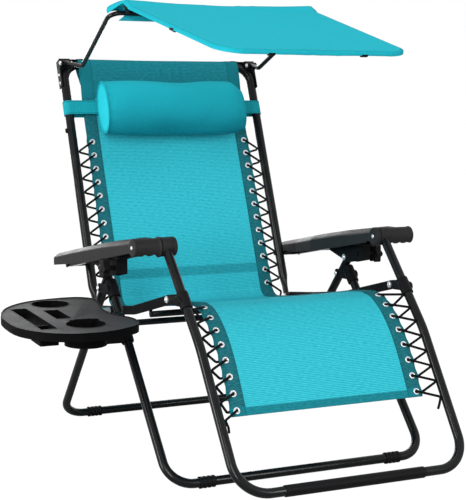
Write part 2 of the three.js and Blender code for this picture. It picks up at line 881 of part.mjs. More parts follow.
// Back frame with flattened ends, and the bolts that carry it

function makeBackFrame() {
  const start = onBack(hipRoundStart, 0);
  const top = onBack(backLength, 0);
  const tube = uFrame(backHalf, start, top, backTubeRadius, headBendRadius);
  const shape = stripShape([hip, onBack(hipPlateLength, 0)], hipPlateHalf);
  const plates = sides.map(([, sign]) => (
    slab(shape, sign * hipPlateInner, sign * (hipPlateInner + hipPlateThick))));
  const bores = [acrossBore(hip, pinRadius), acrossBore(armPivot, pinRadius)];
  addPiece('back_frame', cutBy(joined(tube, ...plates), ...bores), blackEnamel);
  for (const [side, sign] of sides) {
    const head = hipPlateInner - gap;
    const nut = barOuter + gap;
    addPiece(`back_pin_${side}`, turnedPin(hip, sign, [
      [head - pinHeadDepth, pinHeadRadius], [head, pinRadius],
      [nut, pinHeadRadius], [nut + pinHeadDepth, pinHeadRadius],
    ]), steel);
    makeArmPin(side, sign);
  }
}

const railInner = railCentre - railWide / 2;
const railOuter = railCentre + railWide / 2;

function makeArmPin(side, sign) {
  const head = backHalf - backTubeRadius - gap;
  const nut = railOuter + gap;
  addPiece(`arm_pin_${side}`, turnedPin(armPivot, sign, [
    [head - pinHeadDepth, smallHeadRadius], [head, pinRadius],
    [backHalf + backTubeRadius + gap, smallHeadRadius], [railInner - gap, pinRadius],
    [nut, pinHeadRadius], [nut + pinHeadDepth, pinHeadRadius],
  ]), steel);
}

// Leg rest frame, its knee brackets and the sleeve round the foot bar

const shinBend = side2(shinBendY, shinBendZ);
const footBar = side2(footBarY, footBarZ);
const legRestTopAxis = side2(armFore.x, armFore.y);
const thighAlong = legRestTopAxis.clone().sub(shinBend).normalize();
const legRestTop = stepFrom(legRestTopAxis, thighAlong, legRestTopRise);
const shinHalfAt = (point) => {
  const share = (legRestTop.y - point.y) / (legRestTop.y - footBar.y);
  return legRestTopHalf + (legRestFootHalf - legRestTopHalf) * share;
};

function makeLegRest() {
  const corners = [
    at(-legRestTopHalf, legRestTop), at(-shinHalfAt(shinBend), shinBend), at(-legRestFootHalf, footBar),
    at(legRestFootHalf, footBar), at(shinHalfAt(shinBend), shinBend), at(legRestTopHalf, legRestTop),
  ];
  const run = new MixedRun(corners, [shinBendRadius, footBendRadius, footBendRadius, shinBendRadius]);
  const options = { steps: run.stations.length - 1, extrudePath: run };
  const tube = solidOf(new THREE.ExtrudeGeometry(circleShape(legTubeRadius, tubeSides), options));
  addPiece('leg_rest_frame', cutBy(tube, acrossBore(armFore, smallPinRadius)), blackEnamel);
  const outer = acrossRod(footBar, sleeveLeft, sleeveRight, sleeveRadius, sleeveSides);
  const bore = acrossRod(footBar, sleeveLeft - overrun, sleeveRight + overrun, legBore, tubeSides);
  addPiece('foot_sleeve', cutBy(outer, bore), blackPlastic);
  makeKneeBrackets();
}

// A bent run whose corners have their own radii
class MixedRun extends BentRun {
  constructor(corners, radii) {
    super([corners[0], corners[corners.length - 1]], 0);
    const heading = (i) => corners[i + 1].clone().sub(corners[i]).normalize();
    this.stations = [corners[0].clone()];
    this.headings = [heading(0)];
    radii.forEach((radius, i) => {
      this.addBend(corners[i + 1], heading(i), heading(i + 1), radius, bendSteps);
    });
    this.stations.push(corners[corners.length - 1].clone());
    this.headings.push(heading(corners.length - 2));
  }
}

const kneeReach = knee.clone().sub(shinBend).dot(thighAlong);
const kneeCentre = stepFrom(shinBend, thighAlong, kneeReach - kneeDrop);

function makeKneeBrackets() {
  const high = stepFrom(kneeCentre, thighAlong, kneeSleeveHalf);
  const low = stepFrom(kneeCentre, thighAlong, -kneeSleeveHalf);
  for (const [side, sign] of sides) {
    const highPoint = at(sign * shinHalfAt(high), high);
    const lowPoint = at(sign * shinHalfAt(low), low);
    const sleeve = rod(highPoint, lowPoint, kneeSleeveRadius);
    const axis = highPoint.clone().sub(lowPoint).normalize();
    const bore = rod(lowPoint.clone().addScaledVector(axis, -overrun),
      highPoint.clone().addScaledVector(axis, overrun), legBore);
    const shape = stripShape([kneeCentre, knee], barDeep / 2);
    const inner1 = barInner - gap - kneeEarThick;
    const outer2 = barOuter + gap + kneeEarThick;
    const ears = [slab(shape, sign * inner1, sign * (barInner - gap)),
      slab(shape, sign * (barOuter + gap), sign * outer2)];
    const body = cutBy(joined(sleeve, ...ears), bore, acrossBore(knee, pinRadius));
    addPiece(`knee_bracket_${side}`, body, blackPlastic);
    addPiece(`knee_pin_${side}`, turnedPin(knee, sign, [
      [inner1 - gap - pinHeadDepth, pinHeadRadius], [inner1 - gap, pinRadius],
      [outer2 + gap, pinHeadRadius], [outer2 + gap + pinHeadDepth, pinHeadRadius],
    ]), steel);
    const nut = railOuter + gap;
    addPiece(`arm_front_bolt_${side}`, turnedPin(armFore, sign, [
      [legRestTopHalf - legTubeRadius - gap - pinHeadDepth, smallHeadRadius],
      [legRestTopHalf - legTubeRadius - gap, smallPinRadius],
      [legRestTopHalf + legTubeRadius + gap, smallHeadRadius], [railInner - gap, smallPinRadius],
      [nut, smallHeadRadius], [nut + pinHeadDepth, smallHeadRadius],
    ]), steel);
  }
}

// Armrests: a crowned shell over a hollow, with a finger grip across the front

function armStation(y, low, high, inner, outer, crown) {
  const edge = (outer - inner) * armEdgeShare;
  const middle = (inner + outer) / 2;
  return [
    [inner, low], [outer, low], [outer, high - edge / 2], [outer - edge / 2, high],
    [outer - edge * 2, high + crown * armShoulderShare], [middle, high + crown],
    [inner + edge * 2, high + crown * armShoulderShare], [inner + edge / 2, high], [inner, high - edge / 2],
  ].map(([x, z]) => new THREE.Vector3(x, y, z));
}

const armTable = [
  [armRearY, armRearLowZ, armRearHighZ, armRearInner],
  [(armRearY + armMidY) / 2, (armRearLowZ + armMidLowZ) / 2, (armRearHighZ + armMidHighZ) / 2, armRearInner],
  [armMidY, armMidLowZ, armMidHighZ, armInner],
  [armForeY, armForeLowZ, armForeHighZ, armInner],
  [armFrontY, armFrontLowZ, armFrontHighZ, armInner],
];

function armShell() {
  const outer = armTable.map(([y, low, high, inner]) => armStation(y, low, high, inner, armOuter, armCrown));
  const last = armTable.length - 1;
  const hollow = armTable.map(([y, low, high, inner], i) => {
    const place = i === 0 ? y - armWall : y;
    const shifted = i === last ? place - overrun / 8 : place;
    return armStation(shifted, low - overrun, high - armWall, inner + armWall, armOuter - armWall, armCrown);
  });
  return cutBy(loft(outer), loft(hollow));
}

function handleSolid() {
  const deep = armFrontY - handleFrontY;
  const mid = (handleLowZ + handleHighZ) / 2;
  const profile = new THREE.Shape();
  profile.moveTo(armFrontY, handleLowZ + handleRound);
  profile.lineTo(armFrontY, armFrontHighZ + armCrown);
  const browZ = handleHighZ + handleRound / 3;
  profile.quadraticCurveTo(armFrontY - deep / 3, browZ, armFrontY - deep / 2, handleHighZ);
  profile.quadraticCurveTo(handleFrontY, handleHighZ - handleRound / 3, handleFrontY, mid);
  profile.quadraticCurveTo(handleFrontY, handleLowZ, handleFrontY + handleRound, handleLowZ);
  profile.lineTo(armFrontY - handleRound, handleLowZ);
  profile.closePath();
  return slab(profile, handleInner, handleOuter);
}

function handleCuts() {
  const cuts = [];
  const low = side2(armFrontY - (armFrontY - handleFrontY) / 2, handleLowZ - handleGrooveRadius / 3);
  for (const place of handleGroovePlaces) {
    const x = railCentre + (place - 1) * handleGroovePitch;
    const from = new THREE.Vector3(x, armFrontY + overrun, low.y);
    const to = new THREE.Vector3(x, handleFrontY - overrun, low.y);
    cuts.push(rod(from, to, handleGrooveRadius));
  }
  return cuts;
}

// Room for the leg rest tube: a round pocket at its pivot and the sweep of its swing
function pivotPocket() {
  const half = legTubeRadius + runningPlay;
  const x1 = legRestTopHalf - half;
  const x2 = legRestTopHalf + half;
  const pocket = acrossRod(armFore, x1, x2, pivotPocketRadius, roundSides);
  const reach = armFore.x - handleFrontY + overrun;
  const restAngle = Math.atan2(-thighAlong.y, -thighAlong.x);
  const sweep = [];
  for (const share of swingShares) {
    const angle = restAngle - THREE.MathUtils.degToRad(swingDegrees) * share;
    const heading = side2(Math.cos(angle), Math.sin(angle));
    const beside = side2(-heading.y, heading.x).multiplyScalar(legTubeRadius + runningPlay);
    const end = stepFrom(armFore, heading, reach);
    sweep.push(slab(polygon([armFore.clone().add(beside), armFore.clone().sub(beside),
      end.clone().sub(beside), end.clone().add(beside)]), x1, x2));
  }
  return joined(pocket, ...sweep);
}

const mirrorX = (solid, sign) => (sign < 0 ? solid.mirror([1, 0, 0]) : solid);

function railSolid(extra) {
  const half = railTall / 2 + extra;
  const rear = stepFrom(armPivot, armAlong, -railEndReach - extra);
  const fore = stepFrom(armFore, armAlong, railEndReach + extra);
  const corners = [stepFrom(rear, armNormal, half), stepFrom(fore, armNormal, half),
    stepFrom(fore, armNormal, -half), stepFrom(rear, armNormal, -half)];
  return slab(polygon(corners), railInner - extra, railOuter + extra);
}

function makeArmrests() {
  const headRoom = smallHeadRadius + runningPlay;
  const bolt = acrossRod(armFore, handleInner + armWall, railOuter + overrun / 4, headRoom, roundSides);
  const spacer = acrossRod(armPivot, backHalf, railCentre, boreRadius(smallHeadRadius), boreSides);
  const hollows = [...handleCuts(), pivotPocket(), railSolid(gap), bolt, spacer];
  const arm = cutBy(joined(armShell(), handleSolid()), ...hollows);
  const rail = cutBy(railSolid(0), acrossBore(armPivot, pinRadius), acrossBore(armFore, smallPinRadius));
  for (const [side, sign] of sides) {
    addPiece(`armrest_${side}`, mirrorX(arm, sign), greyPlastic);
    addPiece(`armrest_rail_${side}`, mirrorX(rail, sign), blackEnamel);
  }
}

// Sling: laced back, seat and leg panels

const sagAt = (share) => 1 - (2 * share - 1) * (2 * share - 1);

function panel(path, across, along, sag, frontward) {
  return clothSheet((u, v) => {
    const { point, normal } = path.at(v * path.total);
    const dip = sag * sagAt(u) * Math.sin(Math.PI * v);
    const place = stepFrom(point, normal, -frontward * dip);
    return { point: at((2 * u - 1) * slingHalf, place), normal: at(0, normal) };
  }, across, along, slingThick);
}

function backPath() {
  const around = backTubeRadius + slingPlay + slingThick / 2;
  const points = [onBack(backClothLow, 0), onBack(backLength - headSlopeLong, 0),
    onBack(backLength - backTubeRadius, around)];
  for (let i = 1; i < headTurnSteps; i++) {
    const angle = (Math.PI * i) / headTurnSteps;
    points.push(onBack(backLength + around * Math.sin(angle), around * Math.cos(angle)));
  }
  points.push(onBack(backLength - headSleeveDrop, -around));
  return new SidePath(points);
}

// The sheet's grid lies at the path's own corners, so the cloth follows them exactly
function backSling() {
  const path = backPath();
  const last = path.points.length - 1;
  return clothSheet((u, v) => {
    const i = Math.round(v * last);
    const normal = path.normalAt(i);
    return { point: at((2 * u - 1) * slingHalf, path.points[i]), normal: at(0, normal) };
  }, backSlingAcross, last, slingThick);
}

function seatPath() {
  return SidePath.smooth([
    onBack(backClothLow - gap, 0), onBack(backClothLow / 2, backClothLow / 5),
    side2(seatClothLowY, seatClothLowZ),
    side2(seatClothMidY, seatClothMidZ), side2(seatClothForeY, seatClothForeZ),
    side2(seatClothBrowY, seatClothBrowZ), side2(seatClothFrontY, seatClothFrontZ),
    side2(legClothTopY + clothJoint, legClothTopZ),
  ], clothSteps);
}

function legPath() {
  return SidePath.smooth([
    side2(legClothTopY, legClothTopZ), side2(legClothShoulderY, legClothShoulderZ),
    side2(legClothKneeY, legClothKneeZ), side2(legClothShinY, legClothShinZ),
    side2(legClothEndY, legClothEndZ),
  ], clothSteps);
}

function eyeletHole(x, point, normal) {
  const reach = backLaceLift * 2;
  const from = at(x, stepFrom(point, normal, reach));
  const to = at(x, stepFrom(point, normal, -reach));
  return rod(from, to, eyeletHoleRadius, eyeletSides);
}

// A cord that comes up through each eyelet, goes out over the cloth's edge and rests on the tube
function lace(sign, places, lift, roundEdge, tubeFace) {
  const corners = [];
  places.reverse();
  places.forEach(({ point, normal }, i) => {
    corners.push(at(sign * eyeletX, stepFrom(point, normal, lift)));
    corners.push(at(sign * eyeletX, stepFrom(point, normal, -lift)));
    if (i + 1 < places.length) {
      const next = places[i + 1].point;
      const span = point.distanceTo(next);
      const beyond = sign * (slingHalf + lift + laceRadius);
      if (roundEdge) corners.push(at(beyond, stepFrom(point, normal, -lift)));
      for (const share of [(1 - laceRest / span) / 2, (1 + laceRest / span) / 2]) {
        corners.push(tubeFace(mix(point, next, share)));
      }
    }
  });
  return tubeAlong(corners, laceBend, laceRadius, laceSides, 1);
}

function makeBackSling() {
  const places = [];
  for (let i = 0; i < backEyelets; i++) {
    places.push({ point: onBack(backEyeletTop - i * eyeletPitch, 0), normal: backFront });
  }
  const holes = places.flatMap(({ point, normal }) => (
    sides.map(([, sign]) => eyeletHole(sign * eyeletX, point, normal))));
  addPiece('sling_back', cutBy(backSling(), ...holes), turquoise);
  for (const [side, sign] of sides) {
    const face = sign * (backHalf - backTubeRadius - gap - laceRadius);
    const cord = lace(sign, [...places], backLaceLift, false, (point) => at(face, point));
    addPiece(`lace_back_${side}`, cord, cordBlack);
  }
}

function makeLegSling() {
  const path = legPath();
  const places = [];
  for (let i = 0; i < legEyelets; i++) {
    const { point, normal } = path.at(legEyeletStart + i * eyeletPitch);
    places.push({ point, normal: normal.clone().negate() });
  }
  const holes = places.flatMap(({ point, normal }) => (
    sides.map(([, sign]) => eyeletHole(sign * eyeletX, point, normal))));
  addPiece('sling_leg', cutBy(panel(path, legSlingAcross, legSlingAlong, 0, 1), ...holes), turquoise);
  for (const [side, sign] of sides) {
    const cord = lace(sign, [...places], legLaceLift, true, (point) => {
      const tube = nearestOnLegRest(point);
      const covered = tube.distanceTo(kneeCentre) < kneeSleeveHalf + laceRest;
      const face = covered ? kneeSleeveRadius : legTubeRadius;
      const inside = shinHalfAt(tube) - face - gap - laceRadius;
      return at(sign * inside, tube);
    });
    addPiece(`lace_leg_${side}`, cord, cordBlack);
  }
}

// The point of the leg rest tube's side line that lies nearest a place on the cloth
function nearestOnLegRest(point) {
  const upper = nearestOnLine(point, shinBend, legRestTop);
  const lower = nearestOnLine(point, footBar, shinBend);
  return upper.distanceTo(point) < lower.distanceTo(point) ? upper : lower;
}

function nearestOnLine(point, start, end) {
  const along = end.clone().sub(start);
  const share = THREE.MathUtils.clamp(point.clone().sub(start).dot(along) / along.lengthSq(), 0, 1);
  return stepFrom(start, along, share);
}

function makeSeatSling() {
  addPiece('sling_seat', panel(seatPath(), seatSlingAcross, seatSlingAlong, slingSag, -1), turquoise);
}

// Head pillow on an elastic band that loops round both back tubes

function pillowRing(x, share) {
  const ring = [];
  for (let i = 0; i < pillowSides; i++) {
    const angle = (2 * Math.PI * i) / pillowSides;
    const up = Math.sign(Math.sin(angle)) * Math.abs(Math.sin(angle)) ** pillowFullShare;
    const out = Math.cos(angle);
    const place = onBack(pillowUp + (pillowHigh / 2) * share * up,
      pillowFront + pillowThick / 2 + (pillowThick / 2) * share * out);
    ring.push(at(x, place));
  }
  return ring;
}

function makePillow() {
  const rings = pillowEndShares.map(([x, share]) => pillowRing(x * pillowHalf, share));
  addPiece('pillow', loft(rings), turquoise);
  const inside = backTubeRadius + bandPlay;
  const racetrack = (half) => {
    const shape = new THREE.Shape();
    shape.absarc(backHalf, 0, half, -Math.PI / 2, Math.PI / 2);
    shape.absarc(-backHalf, 0, half, Math.PI / 2, (3 * Math.PI) / 2);
    shape.closePath();
    return shape;
  };
  const shape = racetrack(inside + bandThick);
  shape.holes.push(racetrack(inside));
  const options = { depth: bandHigh, bevelEnabled: false, curveSegments: bandSteps };
  const geometry = new THREE.ExtrudeGeometry(shape, options);
  const basis = new THREE.Matrix4().makeBasis(
    new THREE.Vector3(1, 0, 0), new THREE.Vector3(0, -backFront.x, -backFront.y),
    new THREE.Vector3(0, backUp.x, backUp.y),
  );
  const start = onBack(pillowUp - bandHigh / 2, 0);
  basis.setPosition(0, start.x, start.y);
  geometry.applyMatrix4(basis);
  addPiece('pillow_band', solidOf(geometry), turquoise);
}

// Canopy: corner brackets, hinged bow, front bow and cloth

const canopyPin = onBack(canopyPinUp, canopyPinFront);
const fromCanopyPin = (reach, rise) => side2(canopyPin.x - reach, canopyPin.y + rise);
const canopyElbow = fromCanopyPin(canopyElbowReach, canopyElbowRise);
const canopyTop = fromCanopyPin(canopyTopReach, canopyTopRise);
const canopyRidge = fromCanopyPin(canopyRidgeReach, canopyRidgeRise);
const canopyFront = fromCanopyPin(canopyFrontReach, canopyFrontRise);

function backBlock(x1, x2, up1, up2, half) {
  const geometry = new THREE.BoxGeometry(Math.abs(x2 - x1), 2 * half, up2 - up1);
  const middle = onBack((up1 + up2) / 2, 0);
  geometry.rotateX(-Math.asin(backLeanShare));
  geometry.translate((x1 + x2) / 2, middle.x, middle.y);
  return solidOf(geometry);
}

function makeCornerBrackets() {
  const start = onBack(hipRoundStart, 0);
  const top = onBack(backLength, 0);
  const tube = uFrame(backHalf, start, top, clearRadius(backTubeRadius, tubeSides), headBendRadius);
  const earShape = stripShape([onBack(canopyPinUp, 0), canopyPin], earRadius);
  for (const [side, sign] of sides) {
    const block = backBlock(sign * cornerInner, sign * cornerOuter, cornerLow, cornerHigh, cornerHalfThick);
    const ears = [
      slab(earShape, sign * canopyPinInner, sign * (canopyPinInner + earThick)),
      slab(earShape, sign * (canopyPinOuter - earThick), sign * canopyPinOuter),
    ];
    const body = cutBy(joined(block, ...ears), tube, acrossBore(canopyPin, smallPinRadius));
    addPiece(`corner_bracket_${side}`, body, blackPlastic);
    const head = canopyPinInner - gap;
    const nut = canopyPinOuter + gap;
    addPiece(`canopy_pin_${side}`, turnedPin(canopyPin, sign, [
      [head - pinHeadDepth, smallHeadRadius], [head, smallPinRadius],
      [nut, smallHeadRadius], [nut + pinHeadDepth, smallHeadRadius],
    ]), steel);
  }
}

const eyeInner = canopyPinInner + earThick + gap;
const eyeOuter = canopyPinOuter - earThick - gap;
const eyeMiddle = (eyeInner + eyeOuter) / 2;

function makeCanopyFrame() {
  const bendHalf = backHalf - canopyElbowInset;
  const topHalf = backHalf - canopyTopInset;
  const corners = [at(-eyeMiddle, canopyPin), at(-bendHalf, canopyElbow), at(-topHalf, canopyTop),
    at(topHalf, canopyTop), at(bendHalf, canopyElbow), at(eyeMiddle, canopyPin)];
  const bow = tubeAlong(corners, canopyBendRadius, canopyTubeRadius, canopySides, bendSteps);
  const eyeRadius = earRadius - 1;
  const eyes = sides.map(([, sign]) => (
    acrossRod(canopyPin, sign * eyeInner, sign * eyeOuter, eyeRadius, roundSides)));
  const clear = sides.map(([, sign]) => (
    acrossRod(canopyPin, sign * eyeOuter, sign * (eyeOuter + overrun), earRadius + 1, roundSides)));
  const body = cutBy(joined(cutBy(bow, ...clear), ...eyes), acrossBore(canopyPin, smallPinRadius));
  addPiece('canopy_bow', body, blackEnamel);
  const end = side2(canopyTop.x - 2 * canopyTubeRadius - gap, canopyTop.y + gap);
  const endHalf = backHalf - canopyEndInset;
  const ridgeHalf = backHalf - canopyRidgeInset;
  const frontHalf = backHalf - canopyFrontInset;
  const run = new MixedRun([at(-endHalf, end), at(-ridgeHalf, canopyRidge), at(-frontHalf, canopyFront),
    at(frontHalf, canopyFront), at(ridgeHalf, canopyRidge), at(endHalf, end)],
  [canopyBendRadius, canopyFrontBend, canopyFrontBend, canopyBendRadius]);
  const options = { steps: run.stations.length - 1, extrudePath: run };
  const frontBow = solidOf(new THREE.ExtrudeGeometry(circleShape(canopyTubeRadius, canopySides), options));
  addPiece('canopy_front_bow', frontBow, blackEnamel);
}

// Places round a rod at an even distance, by angle from the rear upwards
function roundRod(centre, distance, fromDegrees, toDegrees, steps) {
  const turn = THREE.MathUtils.degToRad(toDegrees - fromDegrees) / steps;
  const reach = distance / Math.cos(turn / 2);
  return Array.from({ length: steps + 1 }, (_, i) => {
    const angle = THREE.MathUtils.degToRad(fromDegrees) + turn * i;
    return side2(centre.x + reach * Math.cos(angle), centre.y + reach * Math.sin(angle));
  });
}

function makeCanopyCloth() {
  const lift = canopyTubeRadius + gap + canopyClothThick / 2;
  const slopeDegrees = (from, to) => THREE.MathUtils.radToDeg(Math.atan2(to.y - from.y, from.x - to.x));
  const rearNormal = 90 - slopeDegrees(canopyTop, canopyRidge);
  const frontNormal = 90 - slopeDegrees(canopyRidge, canopyFront);
  const edgeHalf = backHalf - canopyClothEdgeInset;
  const skirtHalf = backHalf - canopySkirtInset;
  const hoodHalf = backHalf + canopyHoodOutset;
  const ridgeHalf = backHalf - canopyClothRidgeInset;
  const wrap = roundRod(canopyFront, lift, frontNormal, frontWrapDegrees, frontWrapSteps);
  const upSlope = canopyRidge.clone().sub(canopyFront).normalize();
  const rows = [
    [side2(canopyTop.x + lift, canopyPin.y + canopySkirtRise), skirtHalf],
    ...roundRod(canopyTop, lift, 0, rearNormal / 2, 1).map((point) => [point, skirtHalf]),
    [roundRod(canopyTop, lift + canopyHoodLift, rearNormal, rearNormal + 1, 1)[0], hoodHalf],
    ...roundRod(canopyRidge, lift, rearNormal, frontNormal, 2).map((point) => [point, ridgeHalf]),
    ...canopyCornerShares.map(([share, inset]) => (
      [stepFrom(wrap[0], upSlope, canopyFrontBend * share), edgeHalf - inset])),
    ...wrap.map((point) => [point, backHalf - canopyClothFrontInset]),
  ];
  const path = new SidePath(rows.map(([point]) => point));
  const last = rows.length - 1;
  const sheet = clothSheet((u, v) => {
    const i = Math.round(v * last);
    const [point, half] = rows[i];
    return { point: at((2 * u - 1) * half, point), normal: at(0, path.normalAt(i)) };
  }, canopyClothAcross, last, canopyClothThick);
  addPiece('canopy_cloth', sheet, turquoise);
}

// Side tray with cup rings, slots and its clamp on the left front leg

function trayOutline(inset) {
  const wide = trayWide - 2 * inset;
  const long = trayLong - 2 * inset;
  const points = trayShares.map(([x, y]) => new THREE.Vector2(x * wide, y * long));
  return new THREE.Shape(points);
}

function upright(shape, low, high) {
  const options = { depth: high - low, bevelEnabled: false, curveSegments: cupSteps };
  const geometry = new THREE.ExtrudeGeometry(shape, options);
  geometry.translate(0, 0, low);
  return solidOf(geometry);
}

function rectangle(x, y, wide, long) {
  return new THREE.Shape([
    new THREE.Vector2(x - wide / 2, y - long / 2), new THREE.Vector2(x + wide / 2, y - long / 2),
    new THREE.Vector2(x + wide / 2, y + long / 2), new THREE.Vector2(x - wide / 2, y + long / 2),
  ]);
}

function disc(x, y, radius) {
  const shape = new THREE.Shape();
  shape.absarc(x, y, radius, 0, 2 * Math.PI);
  return shape;
}

const clampMiddle = onFrontLeg((clampLow + clampHigh) / 2);

// A thin top with a raised lip, a skirt round it, two cup rings and a pocket below
function makeTray() {
  const plateLow = -trayLip - trayWall;
  const pocketY = slotY - (slotLong - pocketLong) / 2;
  const inside = trayOutline(trayWall);
  const shell = cutBy(upright(trayOutline(0), -trayDeep, 0), upright(inside, -trayLip, trayDeep),
    upright(inside, -2 * trayDeep, plateLow), clampNotch(plateLow));
  const cups = [[rearCupX, rearCupY], [frontCupX, frontCupY]];
  const rings = cups.map(([x, y]) => upright(disc(x, y, cupRadius + cupWall), -cupDrop, -trayLip));
  const pocket = upright(rectangle(slotX, pocketY, slotWide + 2 * cupWall, pocketLong + 2 * cupWall),
    -pocketDrop, -trayLip);
  const holes = cups.map(([x, y]) => upright(disc(x, y, cupRadius), -2 * cupDrop, trayDeep));
  const notchShape = rectangle(frontCupX, frontCupY + cupRadius, notchWide, 2 * notchLong);
  const notch = upright(notchShape, -2 * cupDrop, trayDeep);
  const slot = upright(rectangle(slotX, slotY, slotWide, slotLong), -pocketDrop + trayWall, trayDeep);
  const smallShape = rectangle(smallSlotX, smallSlotY, smallSlotWide, smallSlotLong);
  const small = upright(smallShape, -2 * trayDeep, trayDeep);
  const solid = cutBy(joined(shell, ...rings, pocket), ...holes, notch, slot, small);
  const mesh = addPiece('tray', solid, greyPlastic);
  mesh.position.set(trayCentreX, trayCentreY, trayTopZ);
  mesh.rotation.x = THREE.MathUtils.degToRad(traySlopeDegrees);
  makeTrayClamp();
}

// The way through the skirt for the clamp's arm
function clampNotch(top) {
  const edge = trayWide / 2;
  const wide = 2 * trayWall + clampRadius;
  const shape = rectangle(edge, clampMiddle.x - trayCentreY, wide, clampArmWide + 2 * trayWall);
  return upright(shape, -2 * trayDeep, top);
}

function makeTrayClamp() {
  const x = -frontLegHalf;
  const ring = rod(at(x, onFrontLeg(clampHigh)), at(x, onFrontLeg(clampLow)), clampRadius);
  const slope = Math.tan(THREE.MathUtils.degToRad(traySlopeDegrees));
  const underside = (y) => trayTopZ - trayLip - trayWall + slope * (y - trayCentreY) - gap;
  const rear = clampMiddle.x + clampArmWide / 2;
  const fore = clampMiddle.x - clampArmWide / 2;
  const low = clampMiddle.y - clampArmWide / 2;
  const arm = slab(polygon([side2(fore, low), side2(rear, low), side2(rear, underside(rear)),
    side2(fore, underside(fore))]), x - clampRadius / 2, x - clampRadius - clampArmReach);
  const body = cutBy(joined(ring, arm), frontLegCore(x, legBore), screwBore(clampMiddle));
  addPiece('tray_clamp', body, blackPlastic);
  makeTrayScrew(clampMiddle);
}

function screwBore(point) {
  const from = -frontLegHalf - legTubeRadius;
  const to = from - clampRadius - 2 * clampArmReach;
  return acrossRod(point, from, to, boreRadius(smallPinRadius), boreSides);
}

function makeTrayScrew(point) {
  const tip = -frontLegHalf - legTubeRadius - 2 * gap;
  const face = -frontLegHalf - clampRadius - clampArmReach - gap;
  const shaft = acrossRod(point, tip, face - gap, smallPinRadius, pinSides);
  const head = acrossRod(point, face, face - trayScrewDepth, trayScrewRadius, roundSides);
  addPiece('tray_screw', joined(shaft, head), blackPlastic);
}

makeRearLeg();
makeFrontLeg();
makeFrontHinges();
makeLocks();
makeSeatBars();
makeBackFrame();
makeLegRest();
makeArmrests();
makeBackSling();
makeSeatSling();
makeLegSling();
makePillow();
makeCornerBrackets();
makeCanopyFrame();
makeCanopyCloth();
makeTray();

// The origin lies on the floor under the middle of the whole chair
const extent = new THREE.Box3().setFromObject(lounger);
const middlePoint = extent.getCenter(new THREE.Vector3());
lounger.position.set(-middlePoint.x, -middlePoint.y, 0);

export default lounger;
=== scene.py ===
"""A folding reclining lounger with a canopy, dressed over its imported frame.

Lengths are millimetres in the lounger's own modelling frame, and ``place`` turns them to the
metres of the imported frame. Left and right are as seen from the front: the sitter faces -Y and
the side tray is on the left, at -X.
"""

from __future__ import annotations

import json
import logging
import math
from dataclasses import dataclass, field
from enum import Enum
from typing import Callable, Sequence

import bmesh
import bpy
import numpy as np
from mathutils import Matrix, Vector, noise

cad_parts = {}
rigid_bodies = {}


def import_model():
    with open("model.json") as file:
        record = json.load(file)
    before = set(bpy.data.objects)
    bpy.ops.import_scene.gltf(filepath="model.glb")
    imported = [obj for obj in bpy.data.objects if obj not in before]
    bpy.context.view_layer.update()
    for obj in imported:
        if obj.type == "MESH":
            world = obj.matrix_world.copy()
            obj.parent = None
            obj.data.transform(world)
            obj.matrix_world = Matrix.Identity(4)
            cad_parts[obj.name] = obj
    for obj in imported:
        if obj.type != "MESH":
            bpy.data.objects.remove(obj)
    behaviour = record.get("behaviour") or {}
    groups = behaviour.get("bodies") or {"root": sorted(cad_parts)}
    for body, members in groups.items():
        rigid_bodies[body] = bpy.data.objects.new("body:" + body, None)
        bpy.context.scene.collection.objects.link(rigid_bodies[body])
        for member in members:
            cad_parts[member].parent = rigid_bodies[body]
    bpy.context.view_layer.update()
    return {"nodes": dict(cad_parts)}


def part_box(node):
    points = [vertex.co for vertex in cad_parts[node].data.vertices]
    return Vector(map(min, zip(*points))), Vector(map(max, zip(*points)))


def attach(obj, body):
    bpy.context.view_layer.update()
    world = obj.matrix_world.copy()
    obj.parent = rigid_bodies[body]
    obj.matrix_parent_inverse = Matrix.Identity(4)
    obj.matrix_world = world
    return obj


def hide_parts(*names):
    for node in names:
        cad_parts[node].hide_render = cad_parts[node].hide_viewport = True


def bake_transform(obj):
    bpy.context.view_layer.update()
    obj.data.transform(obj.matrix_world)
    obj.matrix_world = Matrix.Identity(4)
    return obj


LOG = logging.getLogger("lounger")
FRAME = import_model()
SHIFT = Vector((129.0, 62.829, 0.0))
MM = 0.001

Piece = bpy.types.Object
Tree = bpy.types.NodeTree
Node = bpy.types.Node
Socket = bpy.types.NodeSocket
Sockets = bpy.types.NodeOutputs
Side = tuple[str, int]
SIDES: tuple[Side, Side] = (("left", -1), ("right", 1))
Flat = tuple[float, float]


# Places and directions


def place(x: float, y: float, z: float) -> Vector:
    """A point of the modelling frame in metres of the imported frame."""
    return (Vector((x, y, z)) + SHIFT) * MM


def across(x: float, point: Flat) -> Vector:
    """A side-view point (y, z) set at x across the chair, in mm."""
    return Vector((x, point[0], point[1]))


def stepped(point: Flat, direction: Flat, distance: float) -> Flat:
    """The side-view point at a distance along a direction."""
    return (point[0] + direction[0] * distance, point[1] + direction[1] * distance)


def mixed(a: Flat, b: Flat, share: float) -> Flat:
    """The side-view point at a share of the way from a to b."""
    return (a[0] + (b[0] - a[0]) * share, a[1] + (b[1] - a[1]) * share)


def heading(a: Flat, b: Flat) -> Flat:
    """The unit direction from a to b in the side view."""
    length = math.dist(a, b)
    return ((b[0] - a[0]) / length, (b[1] - a[1]) / length)


def toward(angle: float) -> Flat:
    """The unit direction at an angle in radians."""
    return (math.cos(angle), math.sin(angle))


def mirrored(places: Sequence[tuple[float, Flat]]) -> list[Vector]:
    """The corners of a run with equal sides, from half widths and side-view points."""
    right = [across(x, point) for x, point in reversed(places)]
    return [across(-x, point) for x, point in places] + right


def distance_along(start: Flat, direction: Flat, point: Flat) -> float:
    """How far a point lies along a direction from a start."""
    return (point[0] - start[0]) * direction[0] + (point[1] - start[1]) * direction[1]


def eased(share: float) -> float:
    """A share from 0 to 1 that starts and ends gently."""
    share = min(1.0, max(0.0, share))
    return share * share * (3.0 - 2.0 * share)


